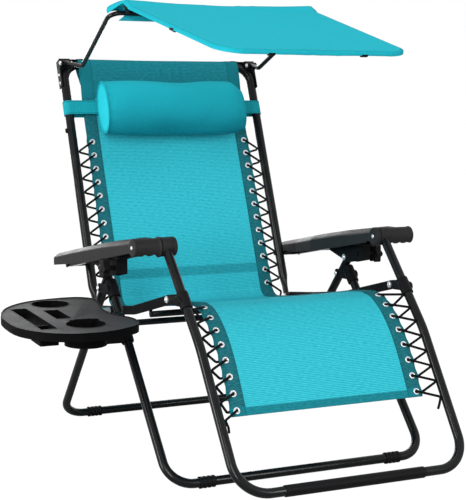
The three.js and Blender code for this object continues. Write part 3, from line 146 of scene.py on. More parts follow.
def step_up(value: float, start: float, soft: float) -> float:
    """Rises from 0 to 1 around a start, over a soft length."""
    return eased((value - start + soft / 2) / soft)


HIP: Flat = (254.6, 327.7)
KNEE: Flat = (-300.0, 429.0)
SEAT_PIVOT: Flat = (98.0, 347.0)
LOCK_PIVOT: Flat = (-7.0, 465.0)
BACK_UP: Flat = (0.3638, math.sqrt(1.0 - 0.3638**2))
BACK_FRONT: Flat = (-BACK_UP[1], BACK_UP[0])
ARM_UP = 127.0
ARM_FORE: Flat = stepped(KNEE, BACK_UP, ARM_UP)
SHIN_BEND: Flat = (-445.8, 342.0)
FOOT_BAR: Flat = (-644.0, 54.0)
SHIN_TOP: Flat = stepped(ARM_FORE, heading(SHIN_BEND, ARM_FORE), 7.0)
LEG_TOP: Flat = (-9.0, 430.0)
FRONT_BAR: Flat = (-382.6, 14.0)
BACK_LENGTH = 703.5
BACK_HALF = 288.0
BACK_TUBE = 12.5
BACK_BEND = 50.0
LEG_TUBE = 11.0
LEG_HALF_TOP = 293.5
LEG_HALF_FOOT = 288.0
SLING_HALF = 247.0
ACROSS = Vector((1, 0, 0))


def on_back(up: float, front: float = 0.0) -> Flat:
    """The side-view point at a height along the back tube and a distance in front of it."""
    return stepped(stepped(HIP, BACK_UP, up), BACK_FRONT, front)


SEAT_REAR: Flat = on_back(25.7)
SEAT_FORE: Flat = (-308.4, 412.0)


def leg_half(height: float) -> float:
    """The half width between the leg rest's tubes at a height."""
    share = (SHIN_TOP[1] - height) / (SHIN_TOP[1] - FOOT_BAR[1])
    return LEG_HALF_TOP + (LEG_HALF_FOOT - LEG_HALF_TOP) * share


def arc(centre: Flat, radius: float, start: float, turn: float, steps: int) -> list[Flat]:
    """Points on an arc from a start angle through a turn, both in radians."""
    angles = [start + turn * i / steps for i in range(steps + 1)]
    return [stepped(centre, toward(angle), radius) for angle in angles]


def curve_point(knots: Sequence[Flat], t: float) -> Flat:
    """The place at a share t between the middle two of four knots of a smooth curve.

    Args:
        knots: Four points in order.
        t: Share from the second point to the third.

    Returns:
        The place.
    """
    a, b, c, d = (Vector(knot) for knot in knots)
    square, cube = 2 * a - 5 * b + 4 * c - d, 3 * b - a - 3 * c + d
    point = 0.5 * (2 * b + (c - a) * t + square * t**2 + cube * t**3)
    return (point.x, point.y)


# Meshes


@dataclass
class Shell:
    """One mesh in the making, in mm.

    Args:
        points: its vertices.
        faces: vertex numbers of each face.
        uvs: a texture place in metres for each vertex, or none.
        edge: each vertex's distance in mm from the cloth's free edge, or none.
        double: how far the cloth lies in two layers at each vertex, a share that also carries
            painted shade and painted light, from 0 to 1, or none.
    """

    points: list[Vector] = field(default_factory=list)
    faces: list[tuple[int, ...]] = field(default_factory=list)
    uvs: list[Flat] = field(default_factory=list)
    edge: list[float] = field(default_factory=list)
    double: list[float] = field(default_factory=list)

    def add(self, other: Shell) -> Shell:
        """Takes in another mesh as separate solids and returns itself.

        Args:
            other: The mesh to take in.

        Returns:
            This mesh.
        """
        start = len(self.points)
        self.points += other.points
        self.faces += [tuple(start + i for i in face) for face in other.faces]
        self.uvs += other.uvs
        self.edge += other.edge
        self.double += other.double
        return self


def make_piece(name: str, shell: Shell, finish: Finish, sharp_degrees: float = 38.0) -> Piece:
    """Makes a smooth-shaded object from a shell.

    Args:
        name: the object's name.
        shell: its mesh in mm.
        finish: the finish it is given.
        sharp_degrees: the fold angle above which an edge stays sharp.

    Returns:
        The new object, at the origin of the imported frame.
    """
    mesh = bpy.data.meshes.new(name)
    points = [tuple(place(*p)) for p in shell.points]
    mesh.from_pydata(points, [], shell.faces)
    if len(shell.uvs) == len(shell.points):
        layer = mesh.uv_layers.new(name="UVMap")
        for loop in mesh.loops:
            layer.data[loop.index].uv = shell.uvs[loop.vertex_index]
    for name_of, values in (("hem", shell.edge), ("double", shell.double)):
        if values:
            layer = mesh.attributes.new(name_of, "FLOAT", "POINT")
            layer.data.foreach_set("value", np.array(values, np.float32))
    bm = bmesh.new()
    bm.from_mesh(mesh)
    bmesh.ops.recalc_face_normals(bm, faces=bm.faces)
    bm.to_mesh(mesh)
    bm.free()
    return shaded(linked(name, mesh), finish, sharp_degrees)


def linked(name: str, data: bpy.types.ID) -> Piece:
    """A new object for a mesh, a camera or a lamp, linked to the scene.

    Args:
        name: Name of the object.
        data: Its mesh, camera or lamp.

    Returns:
        The object.
    """
    obj = bpy.data.objects.new(name, data)
    bpy.context.scene.collection.objects.link(obj)
    return obj


def shaded(obj: Piece, finish: Finish, sharp_degrees: float) -> Piece:
    """Smooth shading with sharp folds, and one finish all over.

    Args:
        obj: The object.
        finish: Its finish.
        sharp_degrees: Angle above which a fold stays sharp.

    Returns:
        The same object.
    """
    obj.data.shade_smooth()
    obj.data.set_sharp_from_angle(angle=math.radians(sharp_degrees))
    obj.data.materials.clear()
    obj.data.materials.append(finish.material())
    return obj


def fitted(piece: Piece, body: str, node: str = "") -> Piece:
    """Hides the CAD node a piece stands for and attaches the piece to its body.

    Args:
        piece: the piece.
        body: the body it rides on.
        node: the CAD node it stands for, or none.

    Returns:
        The same piece.
    """
    if node:
        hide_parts(node)
    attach(piece, body)
    return piece


def fitted_piece(
    name: str, shell: Shell, finish: Finish, body: str, node: str = "", sharp_degrees: float = 38.0
) -> Piece:
    """Makes a piece from a shell and fits it to the frame, as make_piece and fitted do."""
    return fitted(make_piece(name, shell, finish, sharp_degrees), body, node)


def settled(obj: Piece) -> Piece:
    """Turns the object's modifiers into plain mesh.

    Args:
        obj: The object.

    Returns:
        The same object.
    """
    graph = bpy.context.evaluated_depsgraph_get()
    mesh = bpy.data.meshes.new_from_object(obj.evaluated_get(graph))
    obj.modifiers.clear()
    old = obj.data
    obj.data = mesh
    bpy.data.meshes.remove(old)
    return obj


def bent_run(
    corners: Sequence[Vector], radii: float | Sequence[float], turn_step: float = 7.0
) -> list[Vector]:
    """A run of straight lengths joined by round bends.

    Args:
        corners: the corners of the run.
        radii: one bend radius for all inner corners, or one for each.
        turn_step: degrees of turn between two points of a bend.

    Returns:
        The points of the run.
    """
    count = len(corners) - 2
    sizes = [radii] * count if isinstance(radii, (int, float)) else list(radii)
    points = [corners[0].copy()]
    for i in range(1, len(corners) - 1):
        inward = (corners[i] - corners[i - 1]).normalized()
        outward = (corners[i + 1] - corners[i]).normalized()
        turn = inward.angle(outward)
        if turn < 1e-3:
            points.append(corners[i].copy())
            continue
        reach = sizes[i - 1] * math.tan(turn / 2)
        room = 0.49 * min((corners[k + 1] - corners[k]).length for k in (i - 1, i))
        radius = sizes[i - 1] * min(1.0, room / reach)
        start = corners[i] - inward * radius * math.tan(turn / 2)
        to_centre = (outward - inward * math.cos(turn)).normalized()
        steps = max(2, math.ceil(math.degrees(turn) / turn_step))
        for k in range(steps + 1):
            a = turn * k / steps
            aside = to_centre * radius * (1 - math.cos(a))
            points.append(start + inward * radius * math.sin(a) + aside)
    points.append(corners[-1].copy())
    return points


def ring_faces(rings: int, sides: int) -> list[tuple[int, ...]]:
    """The faces between rings of points that all have the same number of sides.

    Args:
        rings: Number of rings.
        sides: Points in each ring.

    Returns:
        The faces by their point numbers.
    """
    faces: list[tuple[int, ...]] = []
    for start in range(0, (rings - 1) * sides, sides):
        for k in range(sides):
            a, b = start + k, start + (k + 1) % sides
            faces.append((a, b, b + sides, a + sides))
    return faces


def swept(
    points: Sequence[Vector],
    radius: float | Sequence[Flat],
    sides: int = 24,
    first_normal: Vector | None = None,
) -> Shell:
    """A closed tube along a run, with slightly domed ends.

    Args:
        points: the run in mm.
        radius: one radius, or a pair of half widths at each point.
        sides: faces round the tube.
        first_normal: the direction of the first half width at the run's start.

    Returns:
        The tube's shell.
    """
    count = len(points)
    halves = [(radius, radius)] * count if isinstance(radius, (int, float)) else list(radius)
    tangents = []
    for i in range(count):
        before = points[max(i - 1, 0)]
        after = points[min(i + 1, count - 1)]
        tangents.append((after - before).normalized())
    normal = first_normal or tangents[0].orthogonal()
    shell = Shell()
    length = 0.0
    for i, (point, tangent) in enumerate(zip(points, tangents)):
        normal = (normal - tangent * normal.dot(tangent)).normalized()
        other = tangent.cross(normal)
        length += (point - points[i - 1]).length if i else 0.0
        for k in range(sides):
            a = math.tau * k / sides
            offset = normal * halves[i][0] * math.cos(a) + other * halves[i][1] * math.sin(a)
            shell.points.append(point + offset)
            shell.uvs.append((k / sides * math.tau * halves[i][0] * MM, length * MM))
    shell.faces = ring_faces(count, sides)
    for start, tangent, centre in (
        (0, -tangents[0], points[0]), ((count - 1) * sides, tangents[-1], points[-1])
    ):
        hub = len(shell.points)
        shell.points.append(centre + tangent * 0.4)
        shell.uvs.append(shell.uvs[start])
        for k in range(sides):
            shell.faces.append((start + k, start + (k + 1) % sides, hub))
    return shell


def turned(centre: Vector, axis: Vector, profile: Sequence[Flat], sides: int = 32) -> Shell:
    """A turned solid round an axis.

    Args:
        centre: the point from which the profile is measured.
        axis: the axis it turns about.
        profile: pairs of distance along the axis and radius.
        sides: faces round it.

    Returns:
        The turned solid's shell.
    """
    axis = axis.normalized()
    normal = axis.orthogonal().normalized()
    other = axis.cross(normal)
    shell = Shell()
    for along, radius in profile:
        for k in range(sides):
            a = math.tau * k / sides
            ring = (normal * math.cos(a) + other * math.sin(a)) * max(radius, 0.02)
            shell.points.append(centre + axis * along + ring)
    shell.faces = ring_faces(len(profile), sides)
    shell.faces.append(tuple(range(sides)))
    shell.faces.append(tuple(range((len(profile) - 1) * sides, len(profile) * sides)))
    return shell


def domed_head(centre: Vector, axis: Vector, radius: float, high: float) -> Shell:
    """The domed head of a rivet or bolt, with a small recess in its middle.

    Args:
        centre: Middle of the head's flat side.
        axis: Way the head stands out.
        radius: Radius in mm.
        high: Height in mm.

    Returns:
        The head.
    """
    steps = 6
    profile = [(0.0, radius)]
    for i in range(1, steps + 1):
        a = math.pi / 2 * i / steps
        profile.append((high * math.sin(a), radius * (0.35 + 0.65 * math.cos(a))))
    profile.append((high * 0.6, radius * 0.28))
    return turned(centre, axis, profile, 24)


SurfacePoint = tuple[Vector, Vector]
Eyelet = tuple[Flat, Flat]
Slab = tuple[list[Flat], float, float]


def cloth_shell(
    surface: Callable[[float, float], SurfacePoint],
    wide: int,
    long: int,
    thickness: float,
    free_edges: str = "u",
) -> Shell:
    """A closed sheet of cloth of even thickness.

    Args:
        surface: gives a point and its outward normal from two shares.
        wide: steps across.
        long: steps along.
        thickness: the cloth's thickness in mm.
        free_edges: "u" where only the side edges are hems, "uv" where the ends are too.

    Returns:
        The sheet's shell, with texture places in metres along the cloth.
    """
    points = [[surface(i / wide, j / long) for j in range(long + 1)] for i in range(wide + 1)]
    middle = wide // 2
    lengths = [0.0]
    for j in range(long):
        lengths.append(lengths[-1] + (points[middle][j + 1][0] - points[middle][j][0]).length)
    shell = Shell()
    row = long + 1
    for side in (0.5, -0.5):
        for i in range(wide + 1):
            for j in range(row):
                point, normal = points[i][j]
                span = (points[wide][j][0] - points[0][j][0]).length
                u = i / wide * span
                edge = min(u, span - u)
                if "v" in free_edges:
                    edge = min(edge, lengths[j], lengths[-1] - lengths[j])
                shell.points.append(point + normal * thickness * side)
                shell.uvs.append((u * MM, lengths[j] * MM))
                shell.edge.append(edge)
    layer = (wide + 1) * row
    for i in range(wide):
        for j in range(long):
            a = i * row + j
            shell.faces.append((a, a + row, a + row + 1, a + 1))
            b = a + layer
            shell.faces.append((b, b + 1, b + row + 1, b + row))
    for i in range(wide):
        for a in (i * row, i * row + long):
            shell.faces.append((a, a + row, a + row + layer, a + layer))
    for j in range(long):
        for a in (j, wide * row + j):
            shell.faces.append((a, a + 1, a + 1 + layer, a + layer))
    return shell


def fused(obj: Piece, voxel: float, passes: int, share: float) -> Piece:
    """Turns joined solids into one skin with soft edges, as a mould gives.

    Args:
        obj: the piece.
        voxel: the remesh size in mm.
        passes: smoothing passes.
        share: the share of faces that is kept.

    Returns:
        The same piece.
    """
    remesh = obj.modifiers.new("voxels", "REMESH")
    remesh.mode = "VOXEL"
    remesh.voxel_size = voxel * MM
    smooth = obj.modifiers.new("soften", "SMOOTH")
    smooth.factor = 0.5
    smooth.iterations = passes
    fewer = obj.modifiers.new("fewer", "DECIMATE")
    fewer.ratio = share
    return settled(obj)


def moulded(
    piece: Piece, finish: Finish, body: str, node: str, voxel: float, passes: int, share: float
) -> Piece:
    """Fuses a piece as fused does, then shades and fits it in place of a CAD node."""
    shaded(fused(piece, voxel, passes, share), finish, 62.0)
    return fitted(piece, body, node)


def softened(
    node: str, ending: str, finish: Finish, body: str, voxel: float, passes: int, share: float
) -> Piece:
    """A copy of a CAD node, with every edge rounded, that stands for it.

    Args:
        node: the CAD node.
        ending: what the new piece's name adds to the node's.
        finish: its finish.
        body: the body it rides on.
        voxel: the remesh size in mm.
        passes: smoothing passes.
        share: the share of faces that is kept.

    Returns:
        The rounded piece.
    """
    source = FRAME["nodes"][node]
    obj = linked(f"{node}_{ending}", source.data.copy())
    obj.matrix_world = source.matrix_world
    shaded(fused(obj, voxel, passes, share), finish, 60.0)
    return fitted(obj, body, node)


def carved(obj: Piece, tool: Piece, union: bool = False) -> Piece:
    """Cuts one solid from another, or joins them, and removes the tool.

    Args:
        obj: The solid that is kept.
        tool: The other solid.
        union: Whether the two are joined.

    Returns:
        The solid that is kept.
    """
    cut = obj.modifiers.new("carve", "BOOLEAN")
    cut.operation = "UNION" if union else "DIFFERENCE"
    cut.solver = "EXACT"
    cut.object = tool
    settled(obj)
    bpy.data.objects.remove(tool)
    return obj


def prism(
    outline: Sequence[Flat],
    low: float,
    high: float,
    to_frame: Callable[[float, float, float], Vector],
) -> Shell:
    """A flat-ended solid over an outline in its own plane.

    Args:
        outline: the outline's points in order.
        low: its lower end.
        high: its upper end.
        to_frame: turns its own places into the modelling frame.

    Returns:
        The solid's shell.
    """
    count = len(outline)
    shell = Shell([to_frame(x, y, z) for z in (low, high) for x, y in outline])
    shell.faces = [tuple(range(count)), tuple(range(2 * count - 1, count - 1, -1))]
    for i in range(count):
        k = (i + 1) % count
        shell.faces.append((i, k, k + count, i + count))
    return shell


def spline_ring(points: Sequence[Flat], steps: int) -> list[Flat]:
    """A smooth closed outline through points.

    Args:
        points: Points of the outline.
        steps: Steps between two points.

    Returns:
        The outline.
    """
    count = len(points)
    ring = []
    for i in range(count):
        knots = [points[(i + k - 1) % count] for k in range(4)]
        ring += [curve_point(knots, k / steps) for k in range(steps)]
    return ring


def spline_run(points: Sequence[Flat], count: int) -> list[Flat]:
    """A smooth open side-view run through points, at even shares of each span.

    Args:
        points: Points of the run.
        count: Steps in each span.

    Returns:
        The run.
    """
    ends = [points[0], *points, points[-1]]
    spans = len(points) - 1
    run = []
    for j in range(count + 1):
        share = j / count * spans
        i = min(int(share), spans - 1)
        run.append(curve_point(ends[i : i + 4], share - i))
    return run


class SideRun:
    """A side-view run measured by distance along it."""

    def __init__(self, points: Sequence[Flat]) -> None:
        """Takes the run's points.

        Args:
            points: Points of the run in the side view.
        """
        self.points = list(points)
        self.lengths = [0.0]
        for a, b in zip(self.points, self.points[1:]):
            self.lengths.append(self.lengths[-1] + math.dist(a, b))

    @property
    def total(self) -> float:
        """The run's whole length."""
        return self.lengths[-1]

    def at(self, distance: float) -> tuple[Flat, Flat]:
        """The point at a distance, and the normal there, on the left of the heading.

        Args:
            distance: Distance along the run in mm.

        Returns:
            The point and the normal.
        """
        i = 1
        while i < len(self.points) - 1 and self.lengths[i] < distance:
            i += 1
        span = self.lengths[i] - self.lengths[i - 1]
        point = mixed(self.points[i - 1], self.points[i], (distance - self.lengths[i - 1]) / span)
        before = heading(self.points[max(i - 2, 0)], self.points[max(i - 1, 1)])
        along = heading(self.points[i - 1], self.points[i])
        last = len(self.points) - 1
        after = heading(self.points[min(i, last - 1)], self.points[min(i + 1, last)])
        mean = (before[0] + 2 * along[0] + after[0], before[1] + 2 * along[1] + after[1])
        size = math.hypot(*mean)
        return point, (-mean[1] / size, mean[0] / size)


# Finishes


def linear(hex_colour: str) -> tuple[float, float, float, float]:
    """An sRGB hex colour as the linear colour that shaders take.

    Args:
        hex_colour: Colour as #RRGGBB.

    Returns:
        The linear colour with its alpha.
    """
    parts = [int(hex_colour[i : i + 2], 16) / 255 for i in (1, 3, 5)]
    low = [p / 12.92 if p <= 0.04045 else ((p + 0.055) / 1.055) ** 2.4 for p in parts]
    return (low[0], low[1], low[2], 1.0)


def add(
    tree: Tree,
    kind: str,
    inputs: dict[str | int, object] | None = None,
    out: str | int = 0,
    **settings: object,
) -> Socket:
    """Adds one shader node with its settings and links.

    Args:
        tree: the node tree.
        kind: the node's type, without its ShaderNode prefix.
        inputs: for each socket name or number, a value or a socket to link.
        out: the output to return.
        settings: the node's own properties.

    Returns:
        One of the node's outputs.
    """
    node = tree.nodes.new(f"ShaderNode{kind}")
    for key, value in settings.items():
        setattr(node, key, value)
    for key, value in (inputs or {}).items():
        if isinstance(value, Socket):
            tree.links.new(value, node.inputs[key])
        else:
            node.inputs[key].default_value = value
    return node.outputs[out]


def per_metre(size_mm: float) -> float:
    """A texture scale at which a feature is about size_mm wide."""
    return 1000.0 / size_mm


@dataclass(frozen=True)
class Finish:
    """A finish with one colour and gloss, which its kinds then pattern.

    Args:
        name: the finish's common name.
        colour: its sRGB colour.
        roughness: its roughness.
        slot: the record's material slot; not used.
        specular: the strength of its gloss, 0.5 for a smooth plastic.
        metallic: 1 for a bare metal.
        sheen: the strength of a cloth's sheen.
        painted_top_light: the colour of painted light on the faces that look up, lighter as if lit
            from above, or none.
        painted_top_light_from: how far up a face looks where that painted light starts, from -1 to
            1.
        painted_top_light_share: how far that painted light covers the finish's own colour.
    """

    name: str
    colour: str
    roughness: float
    slot: str = ""
    specular: float = 0.5
    metallic: float = 0.0
    sheen: float = 0.0
    painted_top_light: str = ""
    painted_top_light_from: float = 0.8
    painted_top_light_share: float = 1.0

    def material(self) -> bpy.types.Material:
        """The finish's material, made the first time it is asked for.

        Returns:
            The material.
        """
        known = bpy.data.materials.get(self.name)
        if known:
            return known
        material = bpy.data.materials.new(self.name)
        material.use_nodes = True
        tree = material.node_tree
        shader = tree.nodes["Principled BSDF"]
        shader.inputs["Base Color"].default_value = linear(self.colour)
        shader.inputs["Roughness"].default_value = self.roughness
        shader.inputs["Specular IOR Level"].default_value = self.specular
        shader.inputs["Metallic"].default_value = self.metallic
        shader.inputs["Sheen Weight"].default_value = self.sheen
        shader.inputs["Sheen Roughness"].default_value = 0.5
        shader.inputs["Sheen Tint"].default_value = linear(self.colour)
        self.pattern(tree, shader)
        return material

    def pattern(self, tree: Tree, shader: Node) -> None:
        """Adds the finish's own colour changes and relief."""

    def dress(
        self, tree: Tree, shader: Node, colour: Socket | None, height: Socket, depth_mm: float
    ) -> None:
        """Links a colour and a relief to the shader.

        Args:
            tree: the node tree.
            shader: the finish's shader.
            colour: the colour, or none where it is the same all over.
            height: the relief, from 0 to 1.
            depth_mm: the relief's depth.
        """
        if colour:
            # painted light: faces that look up are painted lighter
            if self.painted_top_light:
                colour = self.with_painted_top_light(tree, colour)
            tree.links.new(colour, shader.inputs["Base Color"])
        bump = add(tree, "Bump", {"Height": height, "Distance": depth_mm * MM, "Strength": 1.0})
        tree.links.new(bump, shader.inputs["Normal"])

    def with_painted_top_light(self, tree: Tree, colour: Socket) -> Socket:
        """Paints light on the faces that look up, lighter as if lit from above.

        Args:
            tree: The node tree.
            colour: The colour so far.

        Returns:
            The lighter colour.
        """
        normal = add(tree, "TexCoord", out="Normal")
        up = add(tree, "SeparateXYZ", {"Vector": normal}, "Z")
        limits = {"Value": up, "From Min": self.painted_top_light_from, "From Max": 0.95, "To Max": self.painted_top_light_share}
        share = add(tree, "MapRange", limits, interpolation_type="SMOOTHSTEP")
        tones = {"Factor": share, "A": colour, "B": linear(self.painted_top_light)}
        return add(tree, "Mix", tones, "Result", data_type="RGBA")

    def worn(
        self, tree: Tree, shader: Node, patch_mm: float, spread: float, worn_colour: str = ""
    ) -> Socket | None:
        """Varies the gloss and the colour in patches, as handling does.

        Args:
            tree: the node tree.
            shader: the finish's shader.
            patch_mm: the patches' width.
            spread: how far the roughness changes.
            worn_colour: the patches' colour, or none.

        Returns:
            The colour between the finish's own and the patches', or none.
        """
        places = add(tree, "TexCoord", out="Object")
        grain = {"Vector": places, "Scale": per_metre(patch_mm), "Detail": 4.0}
        patches = add(tree, "TexNoise", grain)
        limits = {"Value": patches, "From Min": 0.3, "From Max": 0.72}
        limits |= {"To Min": self.roughness - spread / 2, "To Max": self.roughness + spread}
        gloss = add(tree, "MapRange", limits, interpolation_type="SMOOTHSTEP")
        tree.links.new(gloss, shader.inputs["Roughness"])
        if not worn_colour:
            return None
        tones = {"Factor": patches, "A": linear(self.colour), "B": linear(worn_colour)}
        return add(tree, "Mix", tones, "Result", data_type="RGBA")


@dataclass(frozen=True)
class PowderCoat(Finish):
    """Black powder coat baked on steel tube: glossy, with a faint orange peel and dull patches.

    Args:
        peel_mm: the orange peel's width.
        worn_colour: the colour of handled patches.
    """

    peel_mm: float = 2.5
    worn_colour: str = "#151618"

    def pattern(self, tree: Tree, shader: Node) -> None:
        """Orange peel in the gloss, and handling marks of about 40 mm.

        Args:
            tree: The node tree.
            shader: The main shader.
        """
        tone = self.worn(tree, shader, 40.0, 0.1, self.worn_colour)
        places = add(tree, "TexCoord", out="Object")
        peel = add(tree, "TexNoise", {"Vector": places, "Scale": per_metre(self.peel_mm)})
        self.dress(tree, shader, tone, peel, 0.04)


@dataclass(frozen=True)
class MouldedPlastic(Finish):
    """Injection-moulded plastic with the grain of a spark-eroded mould, lighter where rubbed.

    Args:
        grain_mm: the grain's width. The real 0.3 mm would not show, so it is drawn coarser.
        worn_colour: the colour of rubbed patches.
        depth_mm: the grain's depth.
    """

    grain_mm: float = 1.0
    worn_colour: str = "#161618"
    depth_mm: float = 0.1

    def pattern(self, tree: Tree, shader: Node) -> None:
        """Leather-like cells over fine noise, and scuffs of about 45 mm.

        Args:
            tree: The node tree.
            shader: The main shader.
        """
        tone = self.worn(tree, shader, 45.0, 0.05, self.worn_colour)
        places = add(tree, "TexCoord", out="Object")
        coarse = {"Vector": places, "Scale": per_metre(self.grain_mm)}
        cells = add(tree, "TexVoronoi", coarse, "Distance", feature="SMOOTH_F1")
        soft = {"Vector": places, "Scale": per_metre(self.grain_mm * 2), "Detail": 3.0}
        fine = add(tree, "TexNoise", soft)
        grain = add(tree, "Math", {0: cells, 1: fine}, operation="MULTIPLY")
        self.dress(tree, shader, tone, grain, self.depth_mm)


@dataclass(frozen=True)
class ZincPlate(Finish):
    """Zinc-plated steel, rolled bright, with dull spots and fine turning marks."""

    def pattern(self, tree: Tree, shader: Node) -> None:
        """Dull spots of about 3 mm and turning marks of 0.4 mm.

        Args:
            tree: The node tree.
            shader: The main shader.
        """
        self.worn(tree, shader, 3.0, 0.1)
        places = add(tree, "TexCoord", out="Object")
        marks = add(tree, "TexNoise", {"Vector": places, "Scale": per_metre(0.4)})
        self.dress(tree, shader, None, marks, 0.02)


@dataclass(frozen=True)
class WovenCloth(Finish):
    """Woven cloth, patterned along its own threads.

    Args:
        thread_mm: the distance from one rib of weft to the next.
        dash_mm: the length of the thicker stretches in a thread.
        dark: the colour in the gaps between the threads.
        light: the colour of the thicker threads.
        rib: how far the ribs show, from 0 to 1. The rest is the threads' own unevenness.
        doubled_and_painted_light: the colour where the cloth lies in two layers, which also carries
            painted shade and painted light.
        stitch_mm: distances of stitch lines from the cloth's free edge.
        stitch_step: the length of one stitch in mm.
        sewing: the sewing thread's colour.
        depth_mm: the weave's relief.
    """

    thread_mm: float = 2.0
    dash_mm: float = 12.0
    dark: str = "#16808A"
    light: str = "#55D2DC"
    rib: float = 0.4
    doubled_and_painted_light: str = "#14747E"
    stitch_mm: tuple[float, ...] = ()
    stitch_step: float = 4.5
    sewing: str = "#0F5E66"
    depth_mm: float = 0.3

    def pattern(self, tree: Tree, shader: Node) -> None:
        """Ribs of weft with uneven threads, two-layer stretches with painted shade and light, and
        lines of stitches.

        Args:
            tree: The node tree.
            shader: The main shader.
        """
        cloth = add(tree, "TexCoord", out="UV")
        parts = add(tree, "SeparateXYZ", {"Vector": cloth}).node.outputs
        turn = per_metre(self.thread_mm) * math.tau
        wave = add(tree, "Math", {0: parts[1], 1: turn}, operation="MULTIPLY")
        ribs = add(tree, "Math", {0: wave}, operation="SINE")
        ribs = add(tree, "MapRange", {"Value": ribs, "From Min": -1.0, "From Max": 1.0})
        scale = (per_metre(self.dash_mm), per_metre(self.thread_mm * 0.8), 1.0)
        drawn = add(tree, "Mapping", {"Vector": cloth, "Scale": scale})
        uneven = {"Vector": drawn, "Scale": 1.0, "Detail": 4.0, "Roughness": 0.65}
        slubs = add(tree, "TexNoise", uneven)
        slubs = add(tree, "MapRange", {"Value": slubs, "From Min": 0.3, "From Max": 0.7})
        threads = {"Factor": self.rib, "A": slubs, "B": ribs}
        share = add(tree, "Mix", threads, "Result", data_type="FLOAT")
        tones = {"Factor": share, "A": linear(self.dark), "B": linear(self.light)}
        colour = add(tree, "Mix", tones, "Result", data_type="RGBA")
        # share of two-layer cloth, which also carries painted shade and painted light
        two_layer_and_painted_light_share = add(tree, "Attribute", out="Fac", attribute_name="double")
        speckle = add(tree, "MapRange", {"Value": slubs, "To Min": 0.95, "To Max": 0.7})
        shade = add(tree, "Math", {0: two_layer_and_painted_light_share, 1: speckle}, operation="MULTIPLY")
        tones = {"Factor": shade, "A": colour, "B": linear(self.doubled_and_painted_light)}
        colour = add(tree, "Mix", tones, "Result", data_type="RGBA")
        if self.stitch_mm:
            colour, share = self.stitched(tree, parts, colour, share)
        self.dress(tree, shader, colour, share, self.depth_mm)

    def stitched(
        self, tree: Tree, parts: Sockets, colour: Socket, height: Socket
    ) -> tuple[Socket, Socket]:
        """Draws lines of stitches beside the free edge.

        Args:
            tree: the node tree.
            parts: the cloth's two texture places.
            colour: the cloth's colour.
            height: the weave's relief.

        Returns:
            The colour and the relief with the stitches pressed in.
        """
        edge = add(tree, "Attribute", out="Fac", attribute_name="hem")
        run = add(tree, "Math", {0: parts[0], 1: parts[1]}, operation="ADD")
        turn = per_metre(self.stitch_step) * math.tau
        dash = add(tree, "Math", {0: run, 1: turn}, operation="MULTIPLY")
        dash = add(tree, "Math", {0: dash}, operation="SINE")
        limits = {"Value": dash, "From Min": -0.5, "From Max": 0.1, "To Min": 0.35}
        dash = add(tree, "MapRange", limits)
        lines: Socket | float = 0.0
        for distance in self.stitch_mm:
            away = add(tree, "Math", {0: edge, 1: distance}, operation="SUBTRACT")
            away = add(tree, "Math", {0: away}, operation="ABSOLUTE")
            limits = {"Value": away, "From Min": 0.3, "From Max": 1.5, "To Min": 0.7, "To Max": 0.0}
            line = add(tree, "MapRange", limits)
            lines = add(tree, "Math", {0: lines, 1: line}, operation="MAXIMUM")
        stitch = add(tree, "Math", {0: lines, 1: dash}, operation="MULTIPLY")
        tones = {"Factor": stitch, "A": colour, "B": linear(self.sewing)}
        sewn = add(tree, "Mix", tones, "Result", data_type="RGBA")
        groove = add(tree, "Math", {0: lines, 1: 2.0}, operation="MULTIPLY")
        pressed = add(tree, "Math", {0: height, 1: groove}, operation="SUBTRACT")
        return sewn, pressed


@dataclass(frozen=True)
class BraidedCord(Finish):
    """Elastic cord in a braided black sheath.

    Args:
        pitch_mm: the braid's pitch.
        between: the colour between its strands.
    """

    pitch_mm: float = 2.4
    between: str = "#050506"

    def pattern(self, tree: Tree, shader: Node) -> None:
        """Two sets of strands that cross along the cord.

        Args:
            tree: The node tree.
            shader: The main shader.
        """
        cord = add(tree, "TexCoord", out="UV")
        parts = add(tree, "SeparateXYZ", {"Vector": cord}).node.outputs
        turn = per_metre(self.pitch_mm) * math.tau
        strands = []
        for operation in ("ADD", "SUBTRACT"):
            run = add(tree, "Math", {0: parts[0], 1: parts[1]}, operation=operation)
            run = add(tree, "Math", {0: run, 1: turn}, operation="MULTIPLY")
            strands.append(add(tree, "Math", {0: run}, operation="SINE"))
        height = add(tree, "Math", {0: strands[0], 1: strands[1]}, operation="MAXIMUM")
        share = add(tree, "MapRange", {"Value": height, "From Min": -0.6, "From Max": 0.8})
        tones = {"Factor": share, "A": linear(self.between), "B": linear(self.colour)}
        tone = add(tree, "Mix", tones, "Result", data_type="RGBA")
        self.dress(tree, shader, tone, height, 0.15)


POWDER_COAT = PowderCoat("powder_coated_steel", "#0A0A0B", 0.2, "black_enamel", 0.17)
PRESSED_STEEL = PowderCoat("coated_pressed_steel", "#0C0C0D", 0.5, "black_enamel", 0.04)
NYLON = MouldedPlastic("moulded_nylon", "#0E0E0F", 0.42, "black_plastic", 0.07)
# The tray's top is painted lighter than its near-black sides: painted light from the lamps above.
POLYPROPYLENE = MouldedPlastic(
    "grained_polypropylene", "#050506", 0.55, "grey_plastic", 0.03, grain_mm=1.6,
    worn_colour="#0A0A0B", depth_mm=0.16, painted_top_light="#424243",
)
ARM_PLASTIC = MouldedPlastic(
    "armrest_polypropylene", "#232223", 0.46, "grey_plastic", 0.06, grain_mm=1.4,
    worn_colour="#2E2D2E", depth_mm=0.12,
)
ZINC = ZincPlate("zinc_plated_steel", "#DCDEE0", 0.28, "zinc", metallic=0.6)
